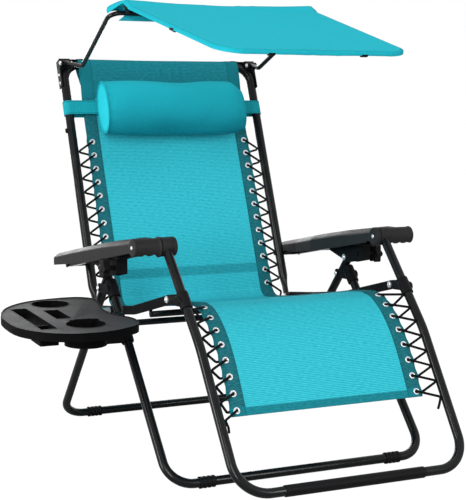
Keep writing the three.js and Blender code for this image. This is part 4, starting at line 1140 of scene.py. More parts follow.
# The sling's two-layer colour is darker: two-layer cloth, and painted shadow of the canopy on the
# head sleeve.
# PVC-coated polyester: ribs that are really 1.4 mm apart are drawn 4.2 mm apart so that they show
SLING = WovenCloth(
    "woven_sling", "#2BB9C8", 0.64, "turquoise_mesh", 0.05, sheen=0.02, thread_mm=4.2,
    dark="#1494A6", light="#47D2E1", rib=0.55, doubled_and_painted_light="#126B76",
)
# Its two-layer colour carries the same painted shadow of the canopy on the head sleeve.
HEM = WovenCloth(
    "sling_hem", "#1A7680", 0.7, "turquoise_mesh", 0.05, sheen=0.02, thread_mm=4.2,
    dark="#0D4A53", light="#2B7F89", rib=0.2, doubled_and_painted_light="#157A86", stitch_mm=(2.5, 35.5),
)
CANOPY_CLOTH = WovenCloth(
    "canopy_polyester", "#26B9C9", 0.7, "turquoise_mesh", 0.02, sheen=0.0, thread_mm=3.0,
    dark="#1CAEC0", light="#2CC0D0", rib=0.3, doubled_and_painted_light="#127F8D", stitch_mm=(13.0,), depth_mm=0.1,
)
# Painted light: the pillow's upper faces are painted lighter as if lit from above, and its
# two-layer colour paints the end panels lighter as if lit from the left.
PILLOW_CLOTH = WovenCloth(
    "pillow_polyester", "#1BA3B0", 0.72, "pillow_cloth", 0.05, sheen=0.03, thread_mm=3.4,
    dark="#0D7686", light="#158F9E", rib=0.25, doubled_and_painted_light="#30CDDB", depth_mm=0.14,
    painted_top_light="#22B6C6", painted_top_light_from=-0.6, painted_top_light_share=0.8,
)
WEBBING = WovenCloth(
    "elastic_webbing", "#179BA8", 0.75, "pillow_cloth", 0.05, sheen=0.03, thread_mm=4.4,
    dash_mm=4.0, dark="#12848F", light="#22A6B3", rib=0.6, stitch_mm=(3.0,), depth_mm=0.5,
)
CORD = BraidedCord("braided_cord", "#0E0E10", 0.65, "black_cord", 0.08, sheen=0.0)


# Photograph's view and light


@dataclass
class Studio:
    """The camera at the photograph's place, a pale floor and soft light."""

    position: tuple[float, float, float] = (-1449.25, -3080.84, 875.29)
    yaw: float = 25.14
    pitch: float = 6.98
    focal_px: float = 1324.19
    centre_px: Flat = (232.17, 265.37)
    image_px: Flat = (466.0, 500.0)
    white: str = "#FFFFFF"
    ambient: float = 0.45
    floor_plain: float = 0.86
    floor_glow: float = 1.13

    def build(self) -> None:
        """Makes the camera first, then the floor, the world and the lamps."""
        self.camera()
        self.floor()
        self.world()
        self.lamp("key_strip", (-2500, -3100, 1900), (0, -50, 550), (700, 2100), 92.0)
        self.lamp("left_strip", (-3000, -200, 900), (0, 100, 600), (700, 1500), 52.0)
        self.lamp("rear_strip", (350, 2700, 900), (-500, -118, 380), (2000, 900), 30.0)
        self.lamp("fill_strip", (1500, -3600, 1700), (0, 0, 600), (400, 1800), 34.0)
        self.lamp("top_softbox", (100, 0, 3300), (0, 0, 400), (1800, 1800), 14.0)

    def camera(self) -> None:
        """Sets the camera from the fitted place, angles and focal length."""
        data = bpy.data.cameras.new("photo_camera")
        camera = linked("photo_camera", data)
        long_side = max(self.image_px)
        data.sensor_width = 36.0
        data.lens = self.focal_px * data.sensor_width / long_side
        data.shift_x = (self.image_px[0] / 2 - self.centre_px[0]) / long_side
        data.shift_y = (self.centre_px[1] - self.image_px[1] / 2) / long_side
        data.clip_end = 50.0
        yaw, pitch = math.radians(self.yaw), math.radians(self.pitch)
        forward = Vector(
            (math.sin(yaw) * math.cos(pitch), math.cos(yaw) * math.cos(pitch), -math.sin(pitch))
        )
        camera.location = place(*self.position)
        camera.rotation_euler = forward.to_track_quat("-Z", "Y").to_euler()
        bpy.context.scene.camera = camera

    def world(self) -> None:
        """A soft even light all round, which shows as white to the camera and in reflections."""
        world = bpy.data.worlds.new("studio")
        bpy.context.scene.world = world
        world.use_nodes = True
        tree = world.node_tree
        tree.nodes.clear()
        soft = add(tree, "Background", {"Color": linear(self.white), "Strength": self.ambient})
        plain = add(tree, "Background", {"Color": linear(self.white), "Strength": 1.0})
        path = add(tree, "LightPath").node.outputs
        seen = path["Is Camera Ray"]
        for ray in ("Is Glossy Ray", "Is Transmission Ray"):
            seen = add(tree, "Math", {0: seen, 1: path[ray]}, operation="MAXIMUM")
        mixed_light = add(tree, "MixShader", {0: seen, 1: soft, 2: plain})
        out = tree.nodes.new("ShaderNodeOutputWorld")
        tree.links.new(mixed_light, out.inputs[0])

    def floor(self) -> None:
        """A wide pale floor that keeps the chair's soft shadow."""
        reach = 9000.0
        corners = ((-1, -1), (1, -1), (1, 1), (-1, 1))
        shell = Shell([Vector((x * reach, y * reach, -0.4)) for x, y in corners], [(0, 1, 2, 3)])
        floor = make_piece("studio_floor", shell, Finish("floor_paper", "#C4C4C4", 0.9))
        tree = floor.data.materials[0].node_tree
        out = next(n for n in tree.nodes if n.type == "OUTPUT_MATERIAL")
        matt = tree.nodes["Principled BSDF"].outputs[0]
        seen = add(tree, "LightPath", out="Is Camera Ray")
        share = add(tree, "Math", {0: seen, 1: self.floor_plain}, operation="MULTIPLY")
        plain = add(tree, "Emission", {"Color": linear(self.white), "Strength": self.floor_glow})
        tree.links.new(add(tree, "MixShader", {0: share, 1: matt, 2: plain}), out.inputs[0])

    def lamp(
        self,
        name: str,
        at: tuple[float, float, float],
        aim: tuple[float, float, float],
        size: Flat,
        power: float,
    ) -> None:
        """A softbox.

        Args:
            name: the lamp's name.
            at: its place in mm.
            aim: the point it faces.
            size: its width and height in mm.
            power: its power in watts.
        """
        data = bpy.data.lights.new(name, "AREA")
        data.shape = "RECTANGLE"
        data.size, data.size_y = size[0] * MM, size[1] * MM
        data.energy = power
        lamp = linked(name, data)
        lamp.location = place(*at)
        lamp.visible_camera = False
        lamp.rotation_euler = (place(*aim) - place(*at)).to_track_quat("-Z", "Y").to_euler()


# Laces


@dataclass
class Laces:
    """Elastic cords that hold the sling to the tubes, and the eyelets they run through."""

    eyelet_x: float = 232.5
    pitch: float = 39.15
    back_count: int = 12
    back_top: float = 473.0
    leg_count: int = 8
    leg_start: float = 27.0
    cord_radius: float = 3.0
    rest: float = 5.0
    bend: float = 4.0
    drop_share: float = 0.7
    tail: float = 24.0
    back_lift: float = 4.8
    leg_lift: float = 3.9
    gap: float = 0.3
    sleeve_below_knee: float = 40.0
    sleeve_half: float = 28.0
    sleeve_wall: float = 3.5

    def back_places(self) -> list[Eyelet]:
        """Eyelet places and outward normals on the back, from the top down.

        Returns:
            The places.
        """
        return [
            (on_back(self.back_top - i * self.pitch), BACK_FRONT) for i in range(self.back_count)
        ]

    def leg_places(self) -> list[Eyelet]:
        """Eyelet places and outward normals on the leg panel, from the top down.

        Returns:
            The places.
        """
        run = SideRun(Sling.leg_run())
        found = []
        for i in range(self.leg_count):
            point, normal = run.at(self.leg_start + i * self.pitch)
            found.append((point, (-normal[0], -normal[1])))
        return found

    def route(
        self,
        sign: int,
        places: Sequence[Eyelet],
        lift: float,
        round_edge: bool,
        tube_face: Callable[[Flat], Vector],
    ) -> list[Vector]:
        """The corners of one cord: up through each eyelet, over the edge and on to the tube.

        Args:
            sign: -1 on the left, 1 on the right.
            places: the eyelets, from the bottom up.
            lift: the cord's distance from the cloth's middle.
            round_edge: whether the cord goes round the cloth's edge below the tube's face.
            tube_face: gives the place on the tube beside a point of the cloth.

        Returns:
            The corners in mm.
        """
        corners = []
        for i, (point, normal) in enumerate(places):
            corners.append(across(sign * self.eyelet_x, stepped(point, normal, lift)))
            corners.append(across(sign * self.eyelet_x, stepped(point, normal, -lift)))
            if i + 1 == len(places):
                break
            following = places[i + 1][0]
            span = math.dist(point, following)
            if round_edge:
                beyond = sign * (SLING_HALF + lift + self.cord_radius)
                corners.append(across(beyond, stepped(point, normal, -lift)))
            middle = 1.0 - self.drop_share
            for share in (middle - self.rest / 2 / span, middle + self.rest / 2 / span):
                corners.append(tube_face(mixed(point, following, share)))
        return self.tail_run(places, tube_face) + corners

    def tail_run(
        self, places: Sequence[Eyelet], tube_face: Callable[[Flat], Vector]
    ) -> list[Vector]:
        """The cord's loose end below the lowest eyelet, and its last hold on the tube.

        Args:
            places: The eyelets' places.
            tube_face: Gives the tube's face beside a place.

        Returns:
            Points of the cord's middle.
        """
        low, following = places[0][0], places[1][0]
        hold = tube_face(mixed(low, following, -self.drop_share))
        under = tube_face(mixed(low, following, -self.drop_share - 0.12))
        inward = math.copysign(self.cord_radius * 1.5, -under.x)
        loose = under + Vector((inward, -self.cord_radius, -self.tail * 0.5))
        return [loose + Vector((inward * 0.5, 2.0, -self.tail * 0.5)), loose, under, hold]

    def leg_face(self, point: Flat, sign: int) -> Vector:
        """The inner face of the leg rest tube beside a point of the leg cloth.

        Args:
            point: The place in the side view.
            sign: -1 on the left, 1 on the right.

        Returns:
            The point on the tube.
        """
        best = SHIN_TOP
        for a, b in ((SHIN_BEND, SHIN_TOP), (FOOT_BAR, SHIN_BEND)):
            share = distance_along(a, heading(a, b), point) / math.dist(a, b)
            near = mixed(a, b, min(1.0, max(0.0, share)))
            if math.dist(near, point) < math.dist(best, point):
                best = near
        thigh = heading(SHIN_BEND, ARM_FORE)
        reach = distance_along(SHIN_BEND, thigh, KNEE) - self.sleeve_below_knee
        beside = math.dist(best, stepped(SHIN_BEND, thigh, reach)) < self.sleeve_half
        tube = LEG_TUBE + (self.sleeve_wall if beside else 0.0)
        return across(sign * (leg_half(best[1]) - tube - self.gap - self.cord_radius), best)

    def build(self) -> None:
        """Makes the four cords and the eyelets of both panels."""
        back = list(reversed(self.back_places()))
        leg = list(reversed(self.leg_places()))
        face = BACK_HALF - BACK_TUBE - self.gap - self.cord_radius
        for side, sign in SIDES:
            corners = self.route(
                sign, back, self.back_lift, False, lambda point: across(sign * face, point)
            )
            self.cord(f"back_{side}", corners, "back")
            corners = self.route(
                sign, leg, self.leg_lift, True, lambda point: self.leg_face(point, sign)
            )
            self.cord(f"leg_{side}", corners, "leg_rest")
        self.eyelets("eyelets_of_back", back, "back")
        self.eyelets("eyelets_of_leg", leg, "leg_rest")

    def cord(self, ending: str, corners: list[Vector], body: str) -> None:
        """Makes one cord along its corners."""
        shell = swept(bent_run(corners, self.bend, 30.0), self.cord_radius, 8)
        fitted_piece(f"lace_of_{ending}", shell, CORD, body, f"lace_{ending}")

    def eyelets(self, name: str, places: Sequence[Eyelet], body: str) -> None:
        """Makes rolled zinc-plated eyelets on both faces of the cloth.

        Args:
            name: Name of the piece.
            places: The eyelets' places.
            body: Body that they move with.
        """
        shell = Shell()
        angles = [math.tau * i / 12 for i in range(13)]
        rolled = [(1.5 * math.sin(a), 6.4 + 1.8 * math.cos(a)) for a in angles]
        for point, normal in places:
            axis = across(0, normal)
            for _, sign in SIDES:
                for face in (1, -1):
                    centre = across(sign * self.eyelet_x, stepped(point, normal, face * 2.4))
                    shell.add(ring_shell(centre, axis, rolled, 20))
                shell.add(barrel_shell(across(sign * self.eyelet_x, point), axis, 4.4, 2.6))
        fitted_piece(name, shell, ZINC, body, sharp_degrees=60.0)


def ring_shell(centre: Vector, axis: Vector, profile: Sequence[Flat], sides: int) -> Shell:
    """A closed ring whose cross-section is a closed profile of (along, radius).

    Args:
        centre: Middle of the ring.
        axis: Way of its axis.
        profile: Points of the cross-section.
        sides: Steps round the ring.

    Returns:
        The ring.
    """
    shell = turned(centre, axis, profile[:-1], sides)
    last = len(shell.points) - sides
    closing = [(last + k, last + (k + 1) % sides, (k + 1) % sides, k) for k in range(sides)]
    shell.faces[-2:] = closing
    return shell


def barrel_shell(centre: Vector, axis: Vector, radius: float, half: float) -> Shell:
    """The thin barrel of an eyelet, open at both ends."""
    return ring_shell(centre, axis, box_profile(half, radius, radius + 0.5), 20)


def box_profile(half: float, low: float, high: float) -> list[Flat]:
    """The closed square profile of a ring, between two radii."""
    return [(-half, low), (half, low), (half, high), (-half, high), (-half, low)]


# Sling


@dataclass(frozen=True)
class Panel:
    """One panel of the sling's cloth.

    Args:
        name: its name.
        node: the CAD node that it stands for.
        run: its side view.
        flip: whether its outward side is on the right of the run.
        sag: how far its middle sinks.
        steps: steps along it.
        places: distances along the run at which eyelets pull the edge out.
        window: the share of the run that is made.
        doubled_and_painted_light: how far the cloth lies in two layers at a distance along the run,
            a share that also carries painted shade.
    """

    name: str
    node: str
    run: SideRun
    flip: bool
    sag: float
    steps: int
    places: Sequence[float] = ()
    window: Flat = (0.0, 1.0)
    doubled_and_painted_light: Callable[[float], float] = lambda distance: 0.0


@dataclass
class Sling:
    """Back, seat and leg cloth with darker sewn hems down both sides."""

    half: float = SLING_HALF
    thick: float = 2.0
    hem_wide: float = 38.0
    hem_thick: float = 3.2
    sag: float = 8.0
    scallop: float = 2.4
    pull: float = 1.0
    pull_reach: float = 19.0
    hem_proud: float = 0.6
    # The head sleeve starts here; it is darkened as two-layer cloth and as painted shadow of the
    # canopy.
    head_sleeve_and_shadow: float = 575.0
    start: float = 26.0
    straight: float = 560.0
    seam: Flat = (50.0, 78.0)
    end_hem: float = 21.0

    @staticmethod
    def back_run() -> list[Flat]:
        """The back cloth from the hip, up the tubes and over the head bar.

        Returns:
            The run in the side view.
        """
        around = BACK_TUBE + Sling.thick / 2 + 1.0
        start, straight = Sling.start, Sling.straight
        points = [on_back(start + (straight - start) * i / 44) for i in range(45)]
        for i in range(1, 15):
            up = straight + (BACK_LENGTH - BACK_TUBE - straight) * i / 14
            points.append(on_back(up, around * eased(i / 14)))
        for a in (math.pi * i / 12 for i in range(13)):
            points.append(on_back(BACK_LENGTH + around * math.sin(a), around * math.cos(a)))
        for down, front in ((14.0, -13.6), (30.0, -7.0), (46.0, 0.5), (62.0, 5.5)):
            points.append(on_back(BACK_LENGTH - down, front))
        return points

    @staticmethod
    def seat_run() -> list[Flat]:
        """The seat cloth from the hip to the knee.

        Returns:
            The run in the side view.
        """
        rear = [SEAT_REAR, on_back(13.0, 5.2), (222.0, 334.0), (95.6, 353.0)]
        fore = [(-71.4, 380.4), (-175.0, 400.0), (-283.0, 413.0), SEAT_FORE]
        return spline_run(rear + fore, 72)

    @staticmethod
    def leg_run() -> list[Flat]:
        """The leg cloth from the knee down the shin."""
        knee = [(-309.0, 412.0), (-344.0, 405.0), (-399.2, 368.7)]
        return spline_run([*knee, (-451.8, 307.6), (-516.0, 194.0)], 64)

    def surface(self, panel: Panel, side: int = 0) -> Callable[[float, float], SurfacePoint]:
        """The cloth's surface over a panel's side view.

        Args:
            panel: the panel.
            side: -1 or 1 for the hem on that side, or 0 for the whole width.

        Returns:
            A function from two shares to a point and its outward normal.
        """
        turn = -1.0 if panel.flip else 1.0
        low, high = panel.window
        inner = self.half - self.hem_wide

        def at(u: float, v: float) -> SurfacePoint:
            """The point and normal at two shares, across and along.

            Args:
                u: Share across the panel.
                v: Share along the panel.

            Returns:
                The point and its normal.
            """
            along = low + (high - low) * v
            distance = along * panel.run.total
            point, normal = panel.run.at(distance)
            normal = (normal[0] * turn, normal[1] * turn)
            half = self.half
            if panel.places:
                near = min(abs(distance - place) for place in panel.places)
                half += self.pull - self.scallop * eased(near / self.pull_reach)
            x = side * (inner + (half + self.hem_proud - inner) * u) if side else (2 * u - 1) * half
            share = min(1.0, abs(x) / self.half)
            dip = panel.sag * (1 - share * share) * math.sin(math.pi * along)
            wave = 0.7 * noise.noise(Vector((x * 0.006, distance * 0.012, 3.1)))
            return across(x, stepped(point, normal, wave - dip)), across(0, normal)

        return at

    def sewn(self, panel: Panel) -> Piece:
        """Makes one panel of cloth, with its two hems as a child.

        Args:
            panel: The panel's sizes.

        Returns:
            The cloth.
        """
        shell = cloth_shell(self.surface(panel), 40, panel.steps, self.thick)
        shell.double = [panel.doubled_and_painted_light(v / MM) for _, v in shell.uvs]
        cloth = make_piece(panel.name, shell, SLING)
        hems = Shell()
        for _, sign in SIDES:
            hems.add(cloth_shell(self.surface(panel, sign), 8, panel.steps, self.hem_thick))
        hems.double = [panel.doubled_and_painted_light(v / MM) for _, v in hems.uvs]
        hem = make_piece(f"{panel.name}_hems", hems, HEM)
        hem.parent = cloth
        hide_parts(panel.node)
        return cloth

    def holed(self, cloth: Piece, places: Sequence[Eyelet], x: float) -> None:
        """Cuts the eyelet holes through a panel and its hems.

        Args:
            cloth: The panel.
            places: The eyelets' places.
            x: How far the eyelets stand from the middle.
        """
        for target in (cloth, *cloth.children):
            tools = Shell()
            for point, normal in places:
                for _, sign in SIDES:
                    axis = across(0, normal)
                    tools.add(turned(across(sign * x, point), axis, [(-8, 4.5), (8, 4.5)], 10))
            carved(target, make_piece("hole_tool", tools, NYLON))

    def build(self, laces: Laces) -> None:
        """Args:
            laces: The laces, which know the eyelets' places.
        """
        back = SideRun(self.back_run())
        first = laces.back_top - self.start
        places = [first - i * laces.pitch for i in range(laces.back_count)]
        sleeve = self.back_doubled
        cloth = self.sewn(
            Panel("cloth_of_back", "sling_back", back, False, 5.0, 180, places, doubled_and_painted_light=sleeve)
        )
        self.holed(cloth, laces.back_places(), laces.eyelet_x)
        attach(cloth, "back")
        back.total
        self.seat()
        leg = SideRun(self.leg_run())
        places = [laces.leg_start + i * laces.pitch for i in range(laces.leg_count)]

        def doubled_and_painted_light(distance: float) -> float:
            """The hem across the panel's lower end."""
            return step_up(distance, leg.total - self.end_hem, 1.5)

        cloth = self.sewn(
            Panel("cloth_of_leg", "sling_leg", leg, True, 3.0, 110, places, doubled_and_painted_light=doubled_and_painted_light)
        )
        self.holed(cloth, laces.leg_places(), laces.eyelet_x)
        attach(cloth, "leg_rest")
        leg.total

    def back_doubled(self, distance: float) -> float:
        """The sewn sleeve over the head bar, darkened also as painted shadow of the canopy, and the
        seam above the hip.
        """
        seam = step_up(distance, self.seam[0], 4.0) - step_up(distance, self.seam[1], 4.0)
        return max(step_up(distance, self.head_sleeve_and_shadow, 6.0), 0.6 * seam)

    def seat(self) -> None:
        """Makes the seat cloth in two halves."""
        run = SideRun(self.seat_run())
        halves = (
            ("cloth_of_seat_rear", (0.0, 0.5), "back", SEAT_REAR, (190.0, 339.0)),
            ("cloth_of_seat_fore", (0.5, 1.0), "leg_rest", SEAT_FORE, (-215.0, 405.0)),
        )
        for name, window, body, start, end in halves:
            cloth = self.sewn(Panel(name, "sling_seat", run, True, self.sag, 40, (), window))
            for piece in (cloth, *cloth.children):
                piece.parent = None
                place(0, *start)
                place(0, *end)
                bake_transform(piece)


# Tube frames


@dataclass
class TubeFrames:
    """Bent tubes of the legs, the back and the leg rest, the cross tubes and the seat bars."""

    rear_half: float = 341.0
    front_half: float = 339.0
    leg_bend: float = 62.0
    flat_share: float = 0.14
    flat_up: float = 22.0
    flat_fade: float = 44.0

    def build(self) -> None:
        """Makes every tube with its true round section."""
        self.legs()
        self.back()
        self.leg_rest()
        for node, body in (
            ("front_cross_tube", "front_legs"), ("seat_cross_tube", "seat"),
            ("seat_bar_left", "seat"), ("seat_bar_right", "seat"),
        ):
            finish = PRESSED_STEEL if "bar" in node else POWDER_COAT
            softened(node, "coated", finish, body, 1.3, 3, 0.35)

    def u_run(self, half: float, top: Flat, bar: Flat, bend: float) -> list[Vector]:
        """The run of a U-shaped frame."""
        return bent_run(mirrored([(half, top), (half, bar)]), bend, 5.0)

    def legs(self) -> None:
        """The two U-shaped leg frames."""
        along = heading(LOCK_PIVOT, SEAT_PIVOT)
        top = stepped(LOCK_PIVOT, along, -9.0)
        bar = stepped(LOCK_PIVOT, along, (LOCK_PIVOT[1] - FRONT_BAR[1]) / -along[1])
        rear = swept(self.u_run(self.rear_half, top, bar, self.leg_bend), LEG_TUBE, 28)
        fitted_piece("rear_leg_tube", rear, POWDER_COAT, "base", "rear_leg")
        run = self.u_run(self.front_half, LEG_TOP, FRONT_BAR, self.leg_bend)
        front = swept(run, LEG_TUBE, 28)
        fitted_piece("front_leg_tube", front, POWDER_COAT, "front_legs", "front_leg")

    def back(self) -> None:
        """The back frame, pressed flat at its two lower ends."""
        run = self.u_run(BACK_HALF, on_back(0.0), on_back(BACK_LENGTH), BACK_BEND)
        steps = [i / 16 * self.flat_share for i in range(17)]
        left = [run[0].lerp(run[1], share) for share in steps]
        right = [run[-2].lerp(run[-1], 1 - share) for share in reversed(steps)]
        points = left + run[1:-1] + right
        halves = []
        for point in points:
            up = distance_along(HIP, BACK_UP, (point.y, point.z))
            share = eased((up - self.flat_up) / self.flat_fade)
            halves.append((4.0 + 8.5 * share, 15.5 - 3.0 * share))
        shell = swept(points, halves, 28, ACROSS)
        boss = [(-4, 12), (-3.4, 12.4), (3.4, 12.4), (4, 12)]
        for _, sign in SIDES:
            shell.add(turned(across(sign * BACK_HALF, HIP), ACROSS, boss, 32))
        fitted_piece("back_tube", shell, POWDER_COAT, "back", "back_frame")

    def leg_rest(self) -> None:
        """The leg rest, bent below the knee and round the feet."""
        places = [(leg_half(point[1]), point) for point in (SHIN_TOP, SHIN_BEND, FOOT_BAR)]
        run = bent_run(mirrored(places), [260.0, 75.0, 75.0, 260.0], 4.0)
        shell = swept(run, LEG_TUBE, 28)
        fitted_piece("leg_rest_tube", shell, POWDER_COAT, "leg_rest", "leg_rest_frame")


# Moulded fittings


@dataclass
class Fittings:
    """Moulded and pressed fittings, and the bolts that hold the chair together."""

    nylon: tuple[tuple[str, str], ...] = (
        ("rear_foot_*", "base"), ("front_foot_*", "front_legs"), ("lock_housing_*", "lock_*"),
        ("knee_bracket_*", "leg_rest"), ("foot_sleeve", "leg_rest"), ("tray_clamp", "front_legs"),
        ("tray_screw", "tray_knob"),
    )
    coated: tuple[tuple[str, str], ...] = (
        ("front_leg_hinge_*", "front_legs"), ("lock_bracket_*", "lock_*"),
    )
    dome_share: float = 0.88
    small_dome: float = 0.6
    hinge_share: float = 0.41
    dome_high: float = 2.4

    def build(self) -> None:
        """Makes rounded pieces for the mouldings and pressings, and plates the bolts."""
        for node, body in on_both_sides(self.nylon):
            softened(node, "moulding", NYLON, body, 1.1, 3, 0.3)
        for node, body in on_both_sides(self.coated):
            softened(node, "pressing", PRESSED_STEEL, body, 1.0, 2, 0.3)
        for node, obj in FRAME["nodes"].items():
            if "_pin_" in node or "_bolt_" in node:
                hidden = node.startswith("arm_")
                dress_node(obj, POWDER_COAT if hidden else ZINC)
                if not hidden:
                    low, high = node_box(node)
                    middle: Flat = ((low.y + high.y) / 2, (low.z + high.z) / 2)
                    share = self.small_dome if "canopy" in node else self.dome_share
                    self.domes(node, obj, middle, (high.y - low.y) / 2 * share)
            if "hinge" in node:
                self.domes(node, obj, mixed(LOCK_PIVOT, SEAT_PIVOT, self.hinge_share), 6.4)

    def domes(self, node: str, obj: Piece, at: Flat, radius: float) -> None:
        """Domed rivet heads on both ends of a pin or rivet.

        Args:
            node: the CAD node that it belongs to.
            obj: that node's object.
            at: its side-view place.
            radius: the heads' radius.
        """
        low, high = node_box(node)
        shell = Shell()
        for x, way in ((low.x, -1), (high.x, 1)):
            shell.add(domed_head(across(x, at), Vector((way, 0, 0)), radius, self.dome_high))
        fitted_piece(f"{node}_heads", shell, ZINC, obj.parent.name.removeprefix("body:"))


def node_box(node: str) -> list[Vector]:
    """The two corners of a CAD node's box, in mm of the modelling frame."""
    return [Vector(corner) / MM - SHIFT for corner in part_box(node)]


def on_both_sides(pairs: Sequence[tuple[str, str]]) -> list[tuple[str, str]]:
    """Names of nodes and their bodies, where a star stands for left and right in turn.

    Args:
        pairs: Names of nodes and bodies with a star for the side.

    Returns:
        The names of both sides.
    """
    found = []
    for node, body in pairs:
        for side in [side for side, _ in SIDES] if "*" in node else [""]:
            found.append((node.replace("*", side), body.replace("*", side)))
    return found


def dress_node(obj: Piece, finish: Finish) -> None:
    """Gives a CAD node a finish through its material slots.

    Args:
        obj: The node's object.
        finish: Its finish.
    """
    if not obj.material_slots:
        obj.data.materials.append(finish.material())
    for slot in obj.material_slots:
        slot.material = finish.material()


def side_prism(outline: Sequence[Flat], x1: float, x2: float) -> Shell:
    """A slab over a side-view outline, from x1 to x2."""
    return prism(outline, x1, x2, lambda y, z, x: Vector((x, y, z)))


@dataclass
class Armrests:
    """Moulded armrests: a crowned hollow arm and a round cross grip with finger scallops."""

    grip: Flat = (-249.0, 545.0)
    grip_radius: float = 20.8
    cap_radius: float = 22.8
    cap_long: float = 41.0
    disc_long: float = 7.0
    inner: float = 268.0
    outer: float = 375.0
    arm_inner: float = 292.0
    arm_outer: float = 369.5
    cut_y: float = -218.0
    pocket: float = 13.9
    swing: float = 36.0
    rail: tuple[float, float] = (332.0, 350.0)
    rail_half: float = 6.3
    scallops: tuple[float, ...] = (322.0, 344.0, 366.0)
    knuckle_radius: float = 20.4
    knuckle_half: float = 12.0

    def build(self) -> None:
        """Makes both armrests, the rails inside them and their screws."""
        for side, sign in SIDES:
            body, rail = f"arm_{side}", f"armrest_rail_{side}"
            arm = self.arm(side, sign)
            moulded(arm, ARM_PLASTIC, body, f"armrest_{side}", 1.4, 4, 0.3)
            fitted_piece(f"armrest_screws_{side}", self.screw_heads(sign), ZINC, body)
            fitted_piece(f"armrest_rail_bar_{side}", self.rail_bar(sign), POWDER_COAT, body, rail)
            fitted_piece(f"grip_knuckle_{side}", self.knuckle(sign), ARM_PLASTIC, "leg_rest")

    def knuckle(self, sign: int) -> Shell:
        """The round knuckle on the leg rest's tube that turns in the grip's gap.

        Args:
            sign: -1 on the left, 1 on the right.

        Returns:
            The knuckle.
        """
        half, radius = self.knuckle_half, self.knuckle_radius
        edge = radius - 1.2
        profile = [(-half, edge), (1 - half, radius), (half - 1, radius), (half, edge)]
        return turned(across(sign * LEG_HALF_TOP, ARM_FORE), ACROSS, profile, 56)

    def screw_heads(self, sign: int) -> Shell:
        """The screws in both ends of the grip.

        Args:
            sign: -1 on the left, 1 on the right.

        Returns:
            The screw heads.
        """
        heads = Shell()
        for x, out in ((self.inner, -1), (self.outer, 1)):
            centre = across(sign * (x + out * 0.2), self.grip)
            heads.add(domed_head(centre, Vector((sign * out, 0, 0)), 4.8, 2.0))
        return heads

    def rail_bar(self, sign: int) -> Shell:
        """The steel bar inside the arm, with rounded ends.

        Args:
            sign: -1 on the left, 1 on the right.

        Returns:
            The bar.
        """
        rear = on_back(ARM_UP)
        along = heading(rear, ARM_FORE)
        outline: list[Flat] = []
        for centre, turn in ((rear, -1.0), (stepped(ARM_FORE, along, 2.0), 1.0)):
            start = math.atan2(along[1] * turn, along[0] * turn) - math.pi / 2
            outline += arc(centre, self.rail_half, start, math.pi, 8)
        return side_prism(outline, sign * self.rail[0], sign * self.rail[1])

    def arm(self, side: str, sign: int) -> Piece:
        """The moulding: the arm as the frame holds it, with the cross grip at its front.

        Args:
            side: Name of the side.
            sign: -1 on the left, 1 on the right.

        Returns:
            The armrest's moulding.
        """
        source = FRAME["nodes"][f"armrest_{side}"]
        arm = linked(f"armrest_{side}_moulding", source.data.copy())
        fore = [(self.cut_y, 400), (self.cut_y, 700), (-400, 700), (-400, 400)]
        for shells, union in (
            ([side_prism(fore, sign * 200, sign * 450)], False),
            ([self.brow(sign), *self.grip_solids(sign)], True), (self.grip_cuts(sign), False),
        ):
            for shell in shells:
                carved(arm, make_piece("arm_tool", shell, ARM_PLASTIC), union)
        return arm

    def brow(self, sign: int) -> Shell:
        """The arm's front end, crowned like the rest of the arm, which runs into the grip.

        Args:
            sign: -1 on the left, 1 on the right.

        Returns:
            The solid.
        """
        inner, outer, middle = self.arm_inner, self.arm_outer, (self.arm_inner + self.arm_outer) / 2
        outline = [(inner, 527.0), (outer, 527.0)]
        for share, high in ((1.0, 551.0), (0.87, 556.0), (0.5, 563.0), (0.0, 565.6)):
            outline.append((middle + (outer - middle) * share, high))
        outline += [(2 * middle - x, z) for x, z in reversed(outline[2:-1])]
        y = self.grip[0]
        return prism(outline, self.cut_y + 3.0, y, lambda x, z, y: Vector((sign * x, y, z)))

    def grip_solids(self, sign: int) -> list[Shell]:
        """The grip's bar, its inner cap and its outer disc.

        Args:
            sign: -1 on the left, 1 on the right.

        Returns:
            The solids.
        """
        axis = Vector((sign, 0, 0))

        def bar(start: float, end: float, radius: float, round_by: float) -> Shell:
            """A round bar between two distances from the middle, with rounded rims.

            Args:
                start: Where it starts, in mm from the chair's middle.
                end: Where it ends.
                radius: Radius in mm.
                round_by: Rounding of its rims.

            Returns:
                The bar.
            """
            centre = across(sign * start, self.grip)
            rounding = [(0.0, round_by), (round_by * 0.4, round_by * 0.3), (round_by, 0.0)]
            near = [(along, radius - inset) for along, inset in rounding]
            far = [(end - start - along, rim) for along, rim in reversed(near)]
            return turned(centre, axis, near + far, 48)

        cap_end = self.inner + self.cap_long
        return [
            bar(self.inner + 3, self.outer - 3, self.grip_radius, 1.5),
            bar(self.inner, cap_end, self.cap_radius, 3.0),
            bar(self.outer - self.disc_long, self.outer, self.cap_radius - 0.6, 2.4),
        ]

    def grip_cuts(self, sign: int) -> list[Shell]:
        """Finger scallops, the groove beside the cap and the room for the leg rest's tube.

        Args:
            sign: -1 on the left, 1 on the right.

        Returns:
            The solids to cut with.
        """
        y, z = self.grip
        low = z - self.grip_radius - 3.5
        cuts = [
            turned(Vector((sign * x, y - 40, low)), Vector((0, 1, 0)), [(0, 8.6), (80, 8.6)], 24)
            for x in self.scallops
        ]
        groove = across(sign * (self.inner + self.cap_long + 1.2), self.grip)
        profile = box_profile(1.2, self.grip_radius - 1.4, self.grip_radius + 4)
        cuts.append(ring_shell(groove, ACROSS, profile, 48))
        thigh = heading(ARM_FORE, SHIN_BEND)
        rest = math.atan2(thigh[1], thigh[0])
        outline = self.pocket_outline(rest)
        reach = self.knuckle_half + 0.5
        x1, x2 = sign * (LEG_HALF_TOP - reach), sign * (LEG_HALF_TOP + reach)
        cuts.append(side_prism(outline, x1, x2))
        gap = [(-reach, self.knuckle_radius + 0.8), (reach, self.knuckle_radius + 0.8)]
        cuts.append(turned(across(sign * LEG_HALF_TOP, ARM_FORE), ACROSS, gap, 56))
        return cuts

